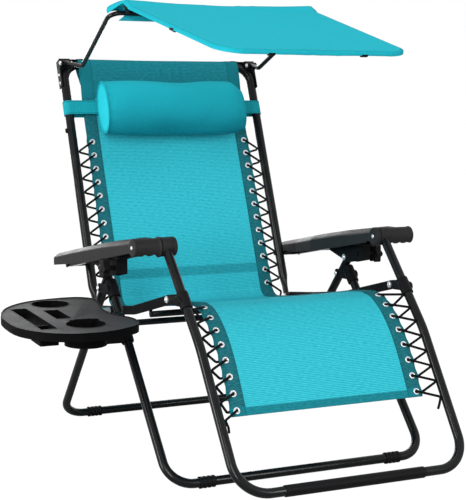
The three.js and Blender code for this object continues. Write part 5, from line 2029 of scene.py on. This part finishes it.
    def pocket_outline(self, rest: float) -> list[Flat]:
        """The side view of the tube's swing about its bolt, from rest to full recline.

        Args:
            rest: Angle of the leg rest's tube at rest, in radians.

        Returns:
            The outline.
        """
        reach = 60.0
        swung = rest - math.radians(self.swing)
        points = []
        for angle, turn in ((rest, 1), (swung, -1)):
            way = toward(angle)
            beside = (-way[1] * turn, way[0] * turn)
            near = stepped(ARM_FORE, beside, self.pocket - 1.6)
            points.append((near, stepped(near, way, reach)))
        turn_back = math.pi - math.radians(self.swing)
        back = arc(ARM_FORE, self.pocket, rest + math.pi / 2, turn_back, 12)[1:-1]
        (near1, far1), (near2, far2) = points
        return [near1, *back, near2, far2, far1]


@dataclass
class LockKnobs:
    """The star knobs that clamp the armrest rails."""

    lobes: int = 6
    radius: float = 21.8
    lobe: float = 3.6
    thick: float = 17.0
    proud: float = 5.0

    def build(self) -> None:
        """Makes one knob on each side, about its own turning axis."""
        for side, sign in SIDES:
            node = f"lock_knob_{side}"
            low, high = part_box(node)
            middle = (Vector(low) + Vector(high)) / 2 / MM - SHIFT
            far = abs((low[0] if sign < 0 else high[0]) / MM - SHIFT.x) + self.proud
            near = abs((high[0] if sign < 0 else low[0]) / MM - SHIFT.x)
            centre: Flat = (middle.y, middle.z)
            star = []
            for i in range(96):
                a = math.tau * i / 96
                reach = self.radius + self.lobe * math.cos(self.lobes * a)
                star.append(stepped(centre, toward(a), reach))
            shell = side_prism(star, sign * (far - self.thick), sign * far)
            axis = Vector((sign, 0, 0))
            long = far - near
            hub = [(0.0, 5.0), (long - 14, 5.0), (long - 14, 13), (long + 1.2, 9.0)]
            shell.add(turned(across(sign * near, centre), axis, hub, 32))
            knob = make_piece(f"{node}_star", shell, NYLON)
            moulded(knob, NYLON, f"knob_{side}", node, 0.9, 4, 0.35)


@dataclass
class CornerBrackets:
    """Moulded gussets outside the back frame's top bends, with the canopy's ears."""

    outer: float = 302.0
    top: float = 714.5
    low: float = 634.0
    inner: float = 226.0
    tube: float = 12.9
    rim: float = 3.2
    ears: tuple[Flat, Flat] = ((273.0, 277.6), (296.4, 301.0))
    ear_up: float = 697.0
    ear_radius: float = 9.0

    def build(self) -> None:
        """Makes both brackets."""
        for side, sign in SIDES:
            node = f"corner_bracket_{side}"
            shell = Shell()
            for part in (self.gusset(sign), *self.rims(sign), *self.ear_plates(sign)):
                shell.add(part)
            piece = make_piece(f"{node}_moulding", shell, NYLON)
            moulded(piece, NYLON, "back", node, 1.1, 3, 0.35)

    def slab(self, outline: Sequence[Flat], rear: float, front: float, sign: int) -> Shell:
        """A slab over an outline of (x, up), between two distances in front of the tubes."""
        return prism(outline, rear, front, lambda x, up, f: across(sign * x, on_back(up, f)))

    def gusset(self, sign: int) -> Shell:
        """The web between the bend's outside and the square corner.

        Args:
            sign: -1 on the left, 1 on the right.

        Returns:
            The web.
        """
        centre = (BACK_HALF - BACK_BEND, BACK_LENGTH - BACK_BEND)
        radius = BACK_BEND + self.tube
        outline = [(self.outer, self.low), (self.outer, self.top), (self.inner, self.top)]
        outline.append((self.inner, centre[1] + radius))
        outline += arc(centre, radius, math.pi / 2, -math.pi / 2, 12)
        outline.append((centre[0] + radius, self.low))
        return self.slab(outline, -10.0, 11.5, sign)

    def rims(self, sign: int) -> list[Shell]:
        """The flanges along the bracket's outer side and top.

        Args:
            sign: -1 on the left, 1 on the right.

        Returns:
            The flanges.
        """
        side = self.corners(self.outer - self.rim, self.low)
        top = self.corners(self.inner, self.top - self.rim)
        return [self.slab(side, -13.0, 14.0, sign), self.slab(top, -12.0, 12.5, sign)]

    def corners(self, x: float, up: float) -> list[Flat]:
        """The rectangle from a place to the bracket's outer top corner."""
        return [(x, up), (self.outer, up), (self.outer, self.top), (x, self.top)]

    def ear_plates(self, sign: int) -> list[Shell]:
        """The two ears for the canopy's bolt, and the web that carries them.

        Args:
            sign: -1 on the left, 1 on the right.

        Returns:
            The ears and their web.
        """
        web = self.corners(self.ears[0][0] - 3, self.ear_up - 10)
        plates = [self.slab(web, self.tube + 0.3, self.tube + 3.6, sign)]
        pin = on_back(self.ear_up, 25.0)
        for x1, x2 in self.ears:
            root = on_back(self.ear_up, self.tube + 0.4)
            outline = [stepped(root, BACK_UP, -self.ear_radius)]
            start = math.atan2(BACK_FRONT[1], BACK_FRONT[0]) + math.pi / 2
            outline += arc(pin, self.ear_radius, start, -math.pi, 12)
            outline.append(stepped(root, BACK_UP, self.ear_radius))
            plates.append(side_prism(sorted_turn(outline), sign * x1, sign * x2))
        return plates


def sorted_turn(outline: Sequence[Flat]) -> list[Flat]:
    """A convex outline's points in order round their middle.

    Args:
        outline: Points in any order.

    Returns:
        The points in order.
    """
    y = sum(p[0] for p in outline) / len(outline)
    z = sum(p[1] for p in outline) / len(outline)
    return sorted(outline, key=lambda p: math.atan2(p[1] - z, p[0] - y))


# Side tray


@dataclass
class SideTray:
    """The clip-on tray with two cup rings, slots, a pocket and a recess beside the leg."""

    centre: tuple[float, float, float] = (-500.0, -118.0, 379.6)
    slope: float = 2.38
    wide: float = 290.0
    long: float = 424.0
    wall: float = 3.0
    lip: float = 2.0
    deep: float = 20.0
    cup_radius: float = 46.0
    cup_drop: float = 50.0
    cups: tuple[Flat, Flat] = ((16.0, 149.0), (20.0, -108.0))
    slot_at: Flat = (-75.0, -10.0)
    slot_size: Flat = (38.0, 250.0)
    small_at: Flat = (-7.0, 22.0)
    small_size: Flat = (36.0, 108.0)
    pocket_drop: float = 40.0
    pocket_long: float = 70.0
    slot_deep: float = 30.0
    shares: tuple[Flat, ...] = (
        (0.48, 0.42), (0.36, 0.5), (0.12, 0.5), (-0.13, 0.45), (-0.34, 0.32), (-0.47, 0.12),
        (-0.5, -0.08), (-0.48, -0.25), (-0.38, -0.38), (-0.22, -0.47), (-0.04, -0.5),
        (0.16, -0.49), (0.35, -0.43), (0.46, -0.36), (0.5, -0.26), (0.49, -0.18),
        (0.44, -0.11), (0.4, -0.03), (0.39, 0.06), (0.42, 0.18), (0.46, 0.31),
    )
    recess_at: Flat = (113.0, 5.6)
    recess_size: Flat = (26.0, 32.0)
    over: float = 20.0
    under: float = -60.0
    cup_under: float = -90.0

    def local(self, x: float, y: float, z: float) -> Vector:
        """A place on the tray in the modelling frame.

        Args:
            x: Place across the tray.
            y: Place along it.
            z: Height above its top.

        Returns:
            The point.
        """
        turn = math.radians(self.slope)
        return Vector(self.centre) + Vector(
            (x, y * math.cos(turn) - z * math.sin(turn), y * math.sin(turn) + z * math.cos(turn))
        )

    def outline(self, inset: float) -> list[Flat]:
        """The tray's smooth outline, set in by a distance."""
        wide, long = self.wide - 2 * inset - 1.0, self.long - 2 * inset - 1.0
        return spline_ring([(x * wide, y * long) for x, y in self.shares], 6)

    def rectangle(self, at: Flat, size: Flat, round_by: float = 3.0) -> list[Flat]:
        """A rectangle with rounded corners.

        Args:
            at: Its middle.
            size: Its width and depth.
            round_by: Radius of its corners.

        Returns:
            The outline.
        """
        points: list[Flat] = []
        for cx, cy, start in ((1, 1, 0), (-1, 1, 1), (-1, -1, 2), (1, -1, 3)):
            mx, my = at[0] + cx * (size[0] / 2 - round_by), at[1] + cy * (size[1] / 2 - round_by)
            points += arc((mx, my), round_by, start * math.pi / 2, math.pi / 2, 4)
        return points

    def solid(self, outline: Sequence[Flat], low: float, high: float) -> Piece:
        """A solid over an outline on the tray."""
        return make_piece("tray_stock", prism(outline, low, high, self.local), POLYPROPYLENE)

    def notches(self) -> list[tuple[Flat, Flat]]:
        """The places and sizes of the two notches in the front cup's rear side.

        Returns:
            The middle and size of each.
        """
        x, y = self.cups[1]
        sizes = ((8.0, (70.0, 26.0)), (3.0, (42.0, 28.0)))
        return [((x + 10.0, y + self.cup_radius - back), size) for back, size in sizes]

    def rounds(self, radius: float, low: float, high: float) -> list[Slab]:
        """A round slab at each cup."""
        return [(arc(cup, radius, 0.0, math.tau, 64)[:-1], low, high) for cup in self.cups]

    def hollows(self) -> list[Slab]:
        """What is cut from the stock above and below the tray's plate.

        Returns:
            The outlines with their heights.
        """
        inside, plate_low = self.outline(self.wall), -self.lip - self.wall
        recess = self.rectangle(self.recess_at, self.recess_size)
        below = [(outline, self.under, plate_low) for outline in (inside, recess)]
        return [(inside, -self.lip, self.over), *below]

    def walls(self, pocket_y: float) -> list[Slab]:
        """The solids that the cups, slots, notches and pocket are cut from.

        Args:
            pocket_y: Middle of the pocket along the tray.

        Returns:
            The outlines with their heights.
        """
        slots = [(self.slot_at, self.slot_size), (self.small_at, self.small_size)]
        places = [(*place, -self.slot_deep, -self.lip + 0.4) for place in slots + self.notches()]
        pocket = ((self.slot_at[0], pocket_y), (self.slot_size[0], self.pocket_long))
        places.append((*pocket, -self.pocket_drop, -self.lip - 0.2))
        walls = self.rounds(self.cup_radius + self.wall, -self.cup_drop, -self.lip + 0.6)
        for at, size, low, high in places:
            around = (size[0] + 2 * self.wall, size[1] + 2 * self.wall)
            walls.append((self.rectangle(at, around), low, high))
        return walls

    def openings(self, pocket_y: float) -> list[Slab]:
        """The cups, the notches, the two slots, the pocket and the dip between them.

        Args:
            pocket_y: Middle of the pocket along the tray.

        Returns:
            The outlines with their heights.
        """
        cuts = self.rounds(self.cup_radius, self.cup_under, self.over)
        for at, size in self.notches():
            cuts.append((self.rectangle(at, size), self.cup_under, self.over))
        (x, y), (wide, long) = self.slot_at, self.slot_size
        beyond = self.pocket_long + self.wall
        for at, size, low in (
            ((x, y + beyond / 2), (wide, long - beyond), self.under),
            ((x, pocket_y), (wide, self.pocket_long), -self.pocket_drop + self.wall),
            ((x, pocket_y + self.pocket_long / 2), (wide, 30.0), -self.lip - 6.0),
            (self.small_at, self.small_size, self.under),
        ):
            cuts.append((self.rectangle(at, size, 2.0), low, self.over))
        return cuts

    def build(self) -> None:
        """Carves the tray from its stock and rounds every edge."""
        tray = self.solid(self.outline(0.0), -self.deep, 0.0)
        pocket_y = self.slot_at[1] - (self.slot_size[1] - self.pocket_long) / 2
        for slabs, union in (
            (self.hollows(), False), (self.walls(pocket_y), True), (self.openings(pocket_y), False)
        ):
            for slab in slabs:
                carved(tray, self.solid(*slab), union)
        bevel = tray.modifiers.new("edges", "BEVEL")
        bevel.width = 0.7 * MM
        bevel.segments = 2
        bevel.limit_method = "ANGLE"
        bevel.angle_limit = math.radians(35.0)
        settled(tray)
        tray.name = "side_tray"
        fitted(shaded(tray, POLYPROPYLENE, 32.0), "front_legs", "tray")


# Head pillow


@dataclass
class HeadPillow:
    """A stuffed bolster with piped end panels, on an elastic band round the back tubes."""

    up: float = 552.0
    half: float = 208.0
    high: float = 157.0
    thick: float = 88.0
    front: float = 15.5
    full: float = 0.85
    right_taper: float = 0.26
    rings: int = 76
    sides: int = 56
    swell_cap: float = 5.0
    frames: int = 18
    band_up: float = 571.0
    band_high: float = 40.0
    band_thick: float = 1.6

    def point(self, t: float, angle: float) -> Vector:
        """A place on the bolster's skin from a share along it and an angle round it.

        Args:
            t: Share along the bolster.
            angle: Angle round it.

        Returns:
            The point.
        """
        s = 1.0 - 0.05 * abs(t) ** 6 - 0.012 * math.cos(6.0 * t)
        s -= self.right_taper * max(0.0, (t - 0.86) / 0.14) ** 1.6 * (0.65 + 0.35 * math.sin(angle))
        up = math.copysign(abs(math.sin(angle)) ** self.full, math.sin(angle))
        here = on_back(
            self.up + (self.high / 2) * s * up,
            self.front + self.thick / 2 + (self.thick / 2) * s * math.cos(angle),
        )
        return across(t * self.half, here)

    def body_shell(self) -> Shell:
        """The bolster's skin with its crowned end panels.

        Returns:
            The skin.
        """
        shell = Shell()
        for i in range(self.rings + 1):
            t = 2.0 * i / self.rings - 1.0
            for k in range(self.sides):
                shell.points.append(self.point(t, math.tau * k / self.sides))
        shell.faces = ring_faces(self.rings + 1, self.sides)
        middle = across(0.0, on_back(self.up, self.front + self.thick / 2))
        for start, sign in ((0, -1), (self.rings * self.sides, 1)):
            last = list(range(start, start + self.sides))
            for share in (0.82, 0.6, 0.36, 0.14):
                first = len(shell.points)
                bulge = 1.6 * (1 - share**2)
                for k in range(self.sides):
                    rim = shell.points[start + k]
                    centre = Vector((rim.x, middle.y, middle.z))
                    shell.points.append(centre.lerp(rim, share) + Vector((sign * bulge, 0, 0)))
                for k in range(self.sides):
                    n = (k + 1) % self.sides
                    shell.faces.append((last[k], last[n], first + n, first + k))
                last = list(range(first, first + self.sides))
            shell.faces.append(tuple(last))
        shell.uvs = [(p.x * MM, (p.z + p.y * 0.3) * MM) for p in shell.points]
        body = (self.rings + 1) * self.sides
        # The end panels take the cloth's two-layer colour, painted lighter as if lit from the left.
        shell.double = [0.0 if i < body else 1.0 for i in range(len(shell.points))]
        return shell

    def build(self) -> None:
        """Makes the bolster, its piping and its band."""
        pillow = make_piece("head_pillow_cover", self.body_shell(), PILLOW_CLOTH, 70.0)
        self.stuff(pillow)
        self.crumple(pillow)
        fitted(pillow, "head_pillow", "pillow")
        self.piping()
        self.band()

    def stuff(self, pillow: Piece) -> None:
        """Blows the cover up as cloth between its seams, and caps how far it moves.

        Args:
            pillow: The pillow's cover.
        """
        rest = [v.co.copy() for v in pillow.data.vertices]
        ring = self.sides
        seams = set(range(ring)) | set(range(self.rings * ring, (self.rings + 1) * ring))
        group = pillow.vertex_groups.new(name="sewn")
        for index in range(len(rest)):
            k = index % ring
            behind = index < (self.rings + 1) * ring and abs(k - ring / 2) < ring * 0.13
            if index in seams or behind:
                group.add([index], 1.0, "REPLACE")
        cloth = pillow.modifiers.new("cover", "CLOTH")
        settings = cloth.settings
        settings.quality = 5
        settings.mass = 0.3
        settings.tension_stiffness = settings.compression_stiffness = 12.0
        settings.bending_stiffness = 0.6
        settings.use_pressure = True
        settings.uniform_pressure_force = 3.5
        settings.effector_weights.gravity = 0.0
        settings.vertex_group_mass = "sewn"
        cloth.collision_settings.use_collision = False
        scene = bpy.context.scene
        for number in range(1, self.frames + 1):
            scene.frame_set(number)
        graph = bpy.context.evaluated_depsgraph_get()
        blown = pillow.evaluated_get(graph).to_mesh()
        moved = [v.co.copy() for v in blown.vertices]
        pillow.modifiers.clear()
        scene.frame_set(1)
        cap = self.swell_cap * MM
        for vertex, start, end in zip(pillow.data.vertices, rest, moved):
            step = end - start
            vertex.co = start + step * min(1.0, cap / max(step.length, 1e-9))
        pillow.data.update()

    def crumple(self, pillow: Piece) -> None:
        """Puckers the cover near its sewn ends and dents it softly elsewhere.

        Args:
            pillow: The pillow's cover.
        """
        mesh = pillow.data
        normals = [v.normal.copy() for v in mesh.vertices]
        ring = self.sides
        for index, vertex in enumerate(mesh.vertices):
            if index >= (self.rings + 1) * ring:
                continue
            t = abs(2.0 * (index // ring) / self.rings - 1.0)
            angle = math.tau * (index % ring) / ring
            pucker = math.sin(angle * 15 + 2.0 * math.sin(angle * 3)) * math.exp(-(1 - t) * 14)
            soft = noise.noise(vertex.co * 14.0) * 2.2 * (1 - t**4)
            vertex.co += normals[index] * (pucker * 0.9 + soft) * MM
        mesh.update()

    def piping(self) -> None:
        """A piped seam round each end panel."""
        shell = Shell()
        for t in (-1.0, 1.0):
            ring = [self.point(t, math.tau * k / 72) for k in range(73)]
            shell.add(swept(ring, 2.1, 8))
        fitted_piece("head_pillow_piping", shell, PILLOW_CLOTH, "head_pillow", sharp_degrees=60.0)

    def band(self) -> None:
        """The elastic band, round both tubes and behind the pillow."""
        inside = BACK_TUBE + 0.6 + self.band_thick / 2
        loop: list[Flat] = []
        for way in (1, -1):
            straight = [way * (2 * BACK_HALF * i / 60 - BACK_HALF) for i in range(60)]
            loop += [(x, way * inside) for x in straight]
            loop += arc((way * BACK_HALF, 0.0), inside, way * math.pi / 2, -math.pi, 18)[:-1]
        count = len(loop)

        def surface(u: float, v: float) -> SurfacePoint:
            """The point and normal at a share of the band's height and one round its loop.

            Args:
                u: Share of the band's height.
                v: Share round its loop.

            Returns:
                The point and its normal.
            """
            x, out = loop[round(v * count) % count]
            before = Vector(loop[(round(v * count) - 1) % count])
            after = Vector(loop[(round(v * count) + 1) % count])
            along = (after - before).normalized()
            normal = Vector((-along.y, along.x))
            up = self.band_up + (u - 0.5) * self.band_high
            wave = 0.35 * noise.noise(Vector((x * 0.02, u * 2.0, out)))
            point = across(x, on_back(up, out))
            front = across(0, BACK_FRONT)
            return point + front * wave, ACROSS * normal.x + front * normal.y

        shell = cloth_shell(surface, 8, count, self.band_thick)
        fitted_piece("head_pillow_band", shell, WEBBING, "head_pillow", "pillow_band")


# Canopy


@dataclass
class ClothRow:
    """One row across the canopy's cloth.

    Args:
        place: its side-view place.
        normal: its outward direction.
        half: its flat half width.
        curl: how far its edges curl down, 1 for a bit over a quarter turn.
        radius: the radius of that curl.
        way: where the edge faces in degrees, 0 for sideways and 90 for forward.
    """

    place: Flat
    normal: Flat
    half: float
    curl: float
    radius: float
    way: float = 0.0


@dataclass
class Canopy:
    """The hinged bow, the front bow and the curved cloth over them."""

    pin: Flat = on_back(697.0, 25.0)
    eye: float = 287.0
    rod: float = 6.0
    front_rod: float = 4.6
    thick: float = 1.4
    gap: float = 0.4
    narrow: float = 238.0
    wide: float = 262.0
    hood_wide: float = 279.0
    front_bend: float = 62.0
    hood_curl: float = 16.0
    skirt_up: float = 97.0
    front_raise: float = 13.0
    ridge_raise: float = 5.0
    ridge_ends: float = 11.0
    hem_turn: float = 132.0
    skirt_rows: int = 6
    hood_rows: int = 9
    ridge_rows: int = 8
    roof_rows: int = 38
    bend_rows: int = 12
    hem_rows: int = 10
    hood_first: int = 5
    hood_last: int = 25
    hem_dark: float = 0.45
    cloth_bend: float = 58.0

    def __post_init__(self) -> None:
        """Sets out the bow's corners from the pin."""
        self.elbow: Flat = (self.pin[0] - 86.9, self.pin[1] - 10.0)
        self.top: Flat = (self.pin[0] - 362.9, self.pin[1] + 116.0)
        self.ridge: Flat = (self.pin[0] - 404.9, self.pin[1] + 127.0 + self.ridge_raise)
        self.fore: Flat = (self.pin[0] - 936.9, self.pin[1] - 12.0 + self.front_raise)

    def build(self) -> None:
        """Makes both bows, the cloth and the clips."""
        corners = mirrored([(self.eye, self.pin), (268.0, self.elbow), (286.0, self.top)])
        shell = swept(bent_run(corners, 30.0, 6.0), self.rod, 18)
        profile = [(-8.8, 7.2), (-8.4, 8.0), (8.4, 8.0), (8.8, 7.2)]
        for _, sign in SIDES:
            shell.add(turned(across(sign * self.eye, self.pin), ACROSS, profile, 28))
        fitted_piece("canopy_bow_rod", shell, POWDER_COAT, "canopy", "canopy_bow")
        end: Flat = (self.top[0] - 12.3, self.top[1] + 0.3)
        corners = mirrored([(244.0, end), (self.wide, self.ridge), (self.narrow, self.fore)])
        run = bent_run(corners, [30.0, self.front_bend, self.front_bend, 30.0], 6.0)
        shell = swept(run, self.front_rod, 18)
        fitted_piece("canopy_front_rod", shell, POWDER_COAT, "canopy", "canopy_front_bow")
        self.cloth()
        self.clips()

    def roof_half(self, share: float) -> float:
        """The roof's half width at a share of the way from the ridge to the front."""
        return self.wide - (self.wide - self.narrow) * share

    def rows(self) -> list[ClothRow]:
        """The cloth's rows from the skirt's lower edge over the rear rod and the roof.

        Returns:
            The rows in order.
        """
        lift = self.rod + self.gap + self.thick / 2
        front_lift = self.front_rod + self.gap + self.thick / 2
        side_curl = front_lift + 0.2
        slope_back = math.atan2(self.ridge[1] - self.top[1], self.top[0] - self.ridge[0])
        slope_fore = math.atan2(self.ridge[1] - self.fore[1], self.ridge[0] - self.fore[0])
        rear_turn = math.pi / 2 - slope_back
        front_turn = math.pi / 2 + slope_fore
        skirt_low = self.pin[1] + self.skirt_up
        rows: list[ClothRow] = []

        def row(base: Flat, angle: float, lift: float, half: float, *curl: float) -> None:
            """Adds a row that is lifted off a base point, with its curl, radius and way."""
            normal = toward(angle)
            rows.append(ClothRow(stepped(base, normal, lift), normal, half, *curl))

        for i in range(self.skirt_rows):
            base = (self.top[0], skirt_low + (self.top[1] - skirt_low) * i / self.skirt_rows)
            row(base, 0.0, lift, self.wide - 4.0 * i, 0.0, 10.0)
        for i in range(self.hood_rows):
            share = i / (self.hood_rows - 1)
            ease = eased(share)
            half = self.narrow + (self.hood_wide - self.narrow) * ease
            row(self.top, rear_turn * share, lift + 2.5 * ease, half, ease, self.hood_curl)
        for i in range(1, self.ridge_rows + 1):
            share = i / self.ridge_rows
            ease = eased(share)
            base = mixed(self.top, self.ridge, min(1.0, share * 1.05))
            turn = rear_turn + (front_turn - rear_turn) * ease
            up = lift + (front_lift - lift + 2.5) * (1 - share)
            half = self.hood_wide + (self.wide - self.hood_wide) * ease
            row(base, turn, up, half, 1.0, self.hood_curl + (side_curl - self.hood_curl) * ease)
        slope = math.dist(self.ridge, self.fore)
        for i in range(1, self.roof_rows + 1):
            share = i / self.roof_rows * (1 - self.cloth_bend / slope)
            base = mixed(self.ridge, self.fore, share)
            row(base, front_turn, front_lift, self.roof_half(share), 1.0, side_curl)
        wrap = math.radians(self.hem_turn) / 2
        for i in range(1, self.bend_rows + 1):
            way = 90.0 * i / self.bend_rows
            turn = math.radians(way)
            share = 1 - self.cloth_bend * (1 - math.sin(turn)) / slope
            half = self.roof_half(share) + 0.4 - self.cloth_bend * (1 - math.cos(turn))
            curl = 1.0 + (wrap - 1.0) * i / self.bend_rows
            base = mixed(self.ridge, self.fore, share)
            row(base, front_turn, front_lift, half, curl, side_curl, way)
        half = rows[-1].half
        for i in range(1, self.hem_rows + 1):
            share = i / self.hem_rows
            turn = front_turn + 2 * wrap * share
            row(self.fore, turn, front_lift, half, wrap * (1 - share), side_curl, 90.0)
        return rows

    def cloth(self) -> None:
        """One continuous sheet: skirt, hood over the rear rod, roof and front hem."""
        rows = self.rows()
        last = len(rows) - 1
        first_roof = self.skirt_rows + self.hood_rows + self.ridge_rows
        roof_end = last - self.hem_rows

        def surface(u: float, v: float) -> SurfacePoint:
            """The point and normal at a share across a row and a share along the rows.

            Args:
                u: Share across a row.
                v: Share along the rows.

            Returns:
                The point and its normal.
            """
            j = round(v * last)
            row = rows[j]
            t = 2 * u - 1
            total = row.half + 2.0 * row.curl * row.radius
            run = abs(t) * total
            side = math.copysign(1.0, t)
            out = across(0, row.normal)
            roof = 0.0
            if first_roof < j < roof_end:
                roof = math.sin(math.pi * (j - first_roof) / (roof_end - first_roof))
            ends = 0.0
            if self.hood_first <= j < self.hood_last:
                span = (j - self.hood_first) / (self.hood_last - self.hood_first)
                ends = self.ridge_ends * math.sin(math.pi * span) ** 0.5
            if run <= row.half or row.curl < 0.03:
                share = min(1.0, run / row.half)
                sag = 8.0 * roof * (1 - share**2) - ends * share**2
                ripple = 1.6 * noise.noise(Vector((run * side * 0.011, j * 0.22, 1.7)))
                pull = 1.4 * noise.noise(Vector((run * side * 0.05, j * 0.09, 5.2))) * (1 - roof)
                lift = (ripple + max(pull, 0.0)) * (1 - share) - sag
                return across(side * run, row.place) + out * lift, out
            a = (run - row.half) / row.radius
            way = math.radians(row.way)
            onward = across(0, (-row.normal[1], row.normal[0]))
            facing = ACROSS * side * math.cos(way) + onward * math.sin(way)
            curled = facing * math.sin(a) + out * (math.cos(a) - 1)
            here = across(side * row.half, row.place) + curled * row.radius + out * ends
            return here, (facing * math.sin(a) + out * math.cos(a)).normalized()

        shell = cloth_shell(surface, 72, last, self.thick, "uv")
        shell.double = [self.hem_dark * (1.0 - step_up(away, 13.0, 3.0)) for away in shell.edge]
        piece = fitted_piece("canopy_cover", shell, CANOPY_CLOTH, "canopy", "canopy_cloth", 70.0)
        steps = [math.dist(a.place, b.place) for a, b in zip(rows, rows[1:])]

    def clips(self) -> None:
        """Small moulded clips in gaps of the hem, where the rod shows below the cloth."""
        shell = Shell()
        low = Vector((0, 0, -2.2))
        for x in (-121.0, 115.0):
            centre = across(x, self.fore) + low
            run = [centre + Vector((d, 0, 0)) for d in (-8, -3, 3, 8)]
            shell.add(swept(run, self.front_rod + 1.4, 16))
        along = heading(self.ridge, self.fore)
        share = 0.53
        half, point = self.roof_half(share) + 0.6, mixed(self.ridge, self.fore, share)
        for _, sign in SIDES:
            run = [across(sign * half, stepped(point, along, d)) + low for d in (-13, -5, 5, 13)]
            shell.add(swept(run, self.front_rod + 1.0, 16))
        fitted_piece("canopy_clips", shell, NYLON, "canopy")


# Small trim


@dataclass
class Trim:
    """Bolt heads and the tube's small hook that the photograph shows."""

    hook_up: float = 507.0
    bolts_up: Flat = (648.0, 672.0)
    bolt_x: float = 301.8

    def build(self) -> None:
        """Makes the small trim of each body."""
        self.hook()
        self.bracket_bolts()

    def hook(self) -> None:
        """A small moulded hook on the outside of the left back tube."""
        base = on_back(self.hook_up)
        run = [across(-BACK_HALF - out, base) for out in (11.0, 17.0)]
        shell = swept(run, [(7.5, 5.0), (6.5, 4.0)], 16, Vector((0, BACK_UP[0], BACK_UP[1])))
        fitted_piece("back_tube_hook", shell, NYLON, "back")

    def bracket_bolts(self) -> None:
        """Two small bolts on the outer face of each corner bracket."""
        shell = Shell()
        for _, sign in SIDES:
            for up in self.bolts_up:
                centre = across(sign * self.bolt_x, on_back(up))
                shell.add(domed_head(centre, Vector((sign, 0, 0)), 4.2, 1.6))
        fitted_piece("corner_bracket_bolts", shell, ZINC, "back")


class Part(Enum):
    """The lounger's sub-assemblies in the order in which they are made."""

    STUDIO = "studio"
    LACES = "laces and eyelets"
    SLING = "sling"
    TUBES = "tube frames"
    FITTINGS = "fittings"
    ARMRESTS = "armrests"
    KNOBS = "lock knobs"
    BRACKETS = "corner brackets"
    TRAY = "side tray"
    PILLOW = "head pillow"
    CANOPY = "canopy"
    TRIM = "small trim"


def main() -> None:
    """Builds the lounger part by part and reports each one."""
    logging.basicConfig(level=logging.INFO, format="%(name)s: %(message)s")
    bpy.context.scene.view_settings.view_transform = "Standard"
    laces = Laces()
    builders: dict[Part, Callable[[], None]] = {
        Part.STUDIO: Studio().build,
        Part.LACES: laces.build,
        Part.SLING: lambda: Sling().build(laces),
        Part.TUBES: TubeFrames().build,
        Part.FITTINGS: Fittings().build,
        Part.ARMRESTS: Armrests().build,
        Part.KNOBS: LockKnobs().build,
        Part.BRACKETS: CornerBrackets().build,
        Part.TRAY: SideTray().build,
        Part.PILLOW: HeadPillow().build,
        Part.CANOPY: Canopy().build,
        Part.TRIM: Trim().build,
    }
    for part, build in builders.items():
        build()
        LOG.info("made the %s", part.value)


if __name__ == "__main__":
    main()
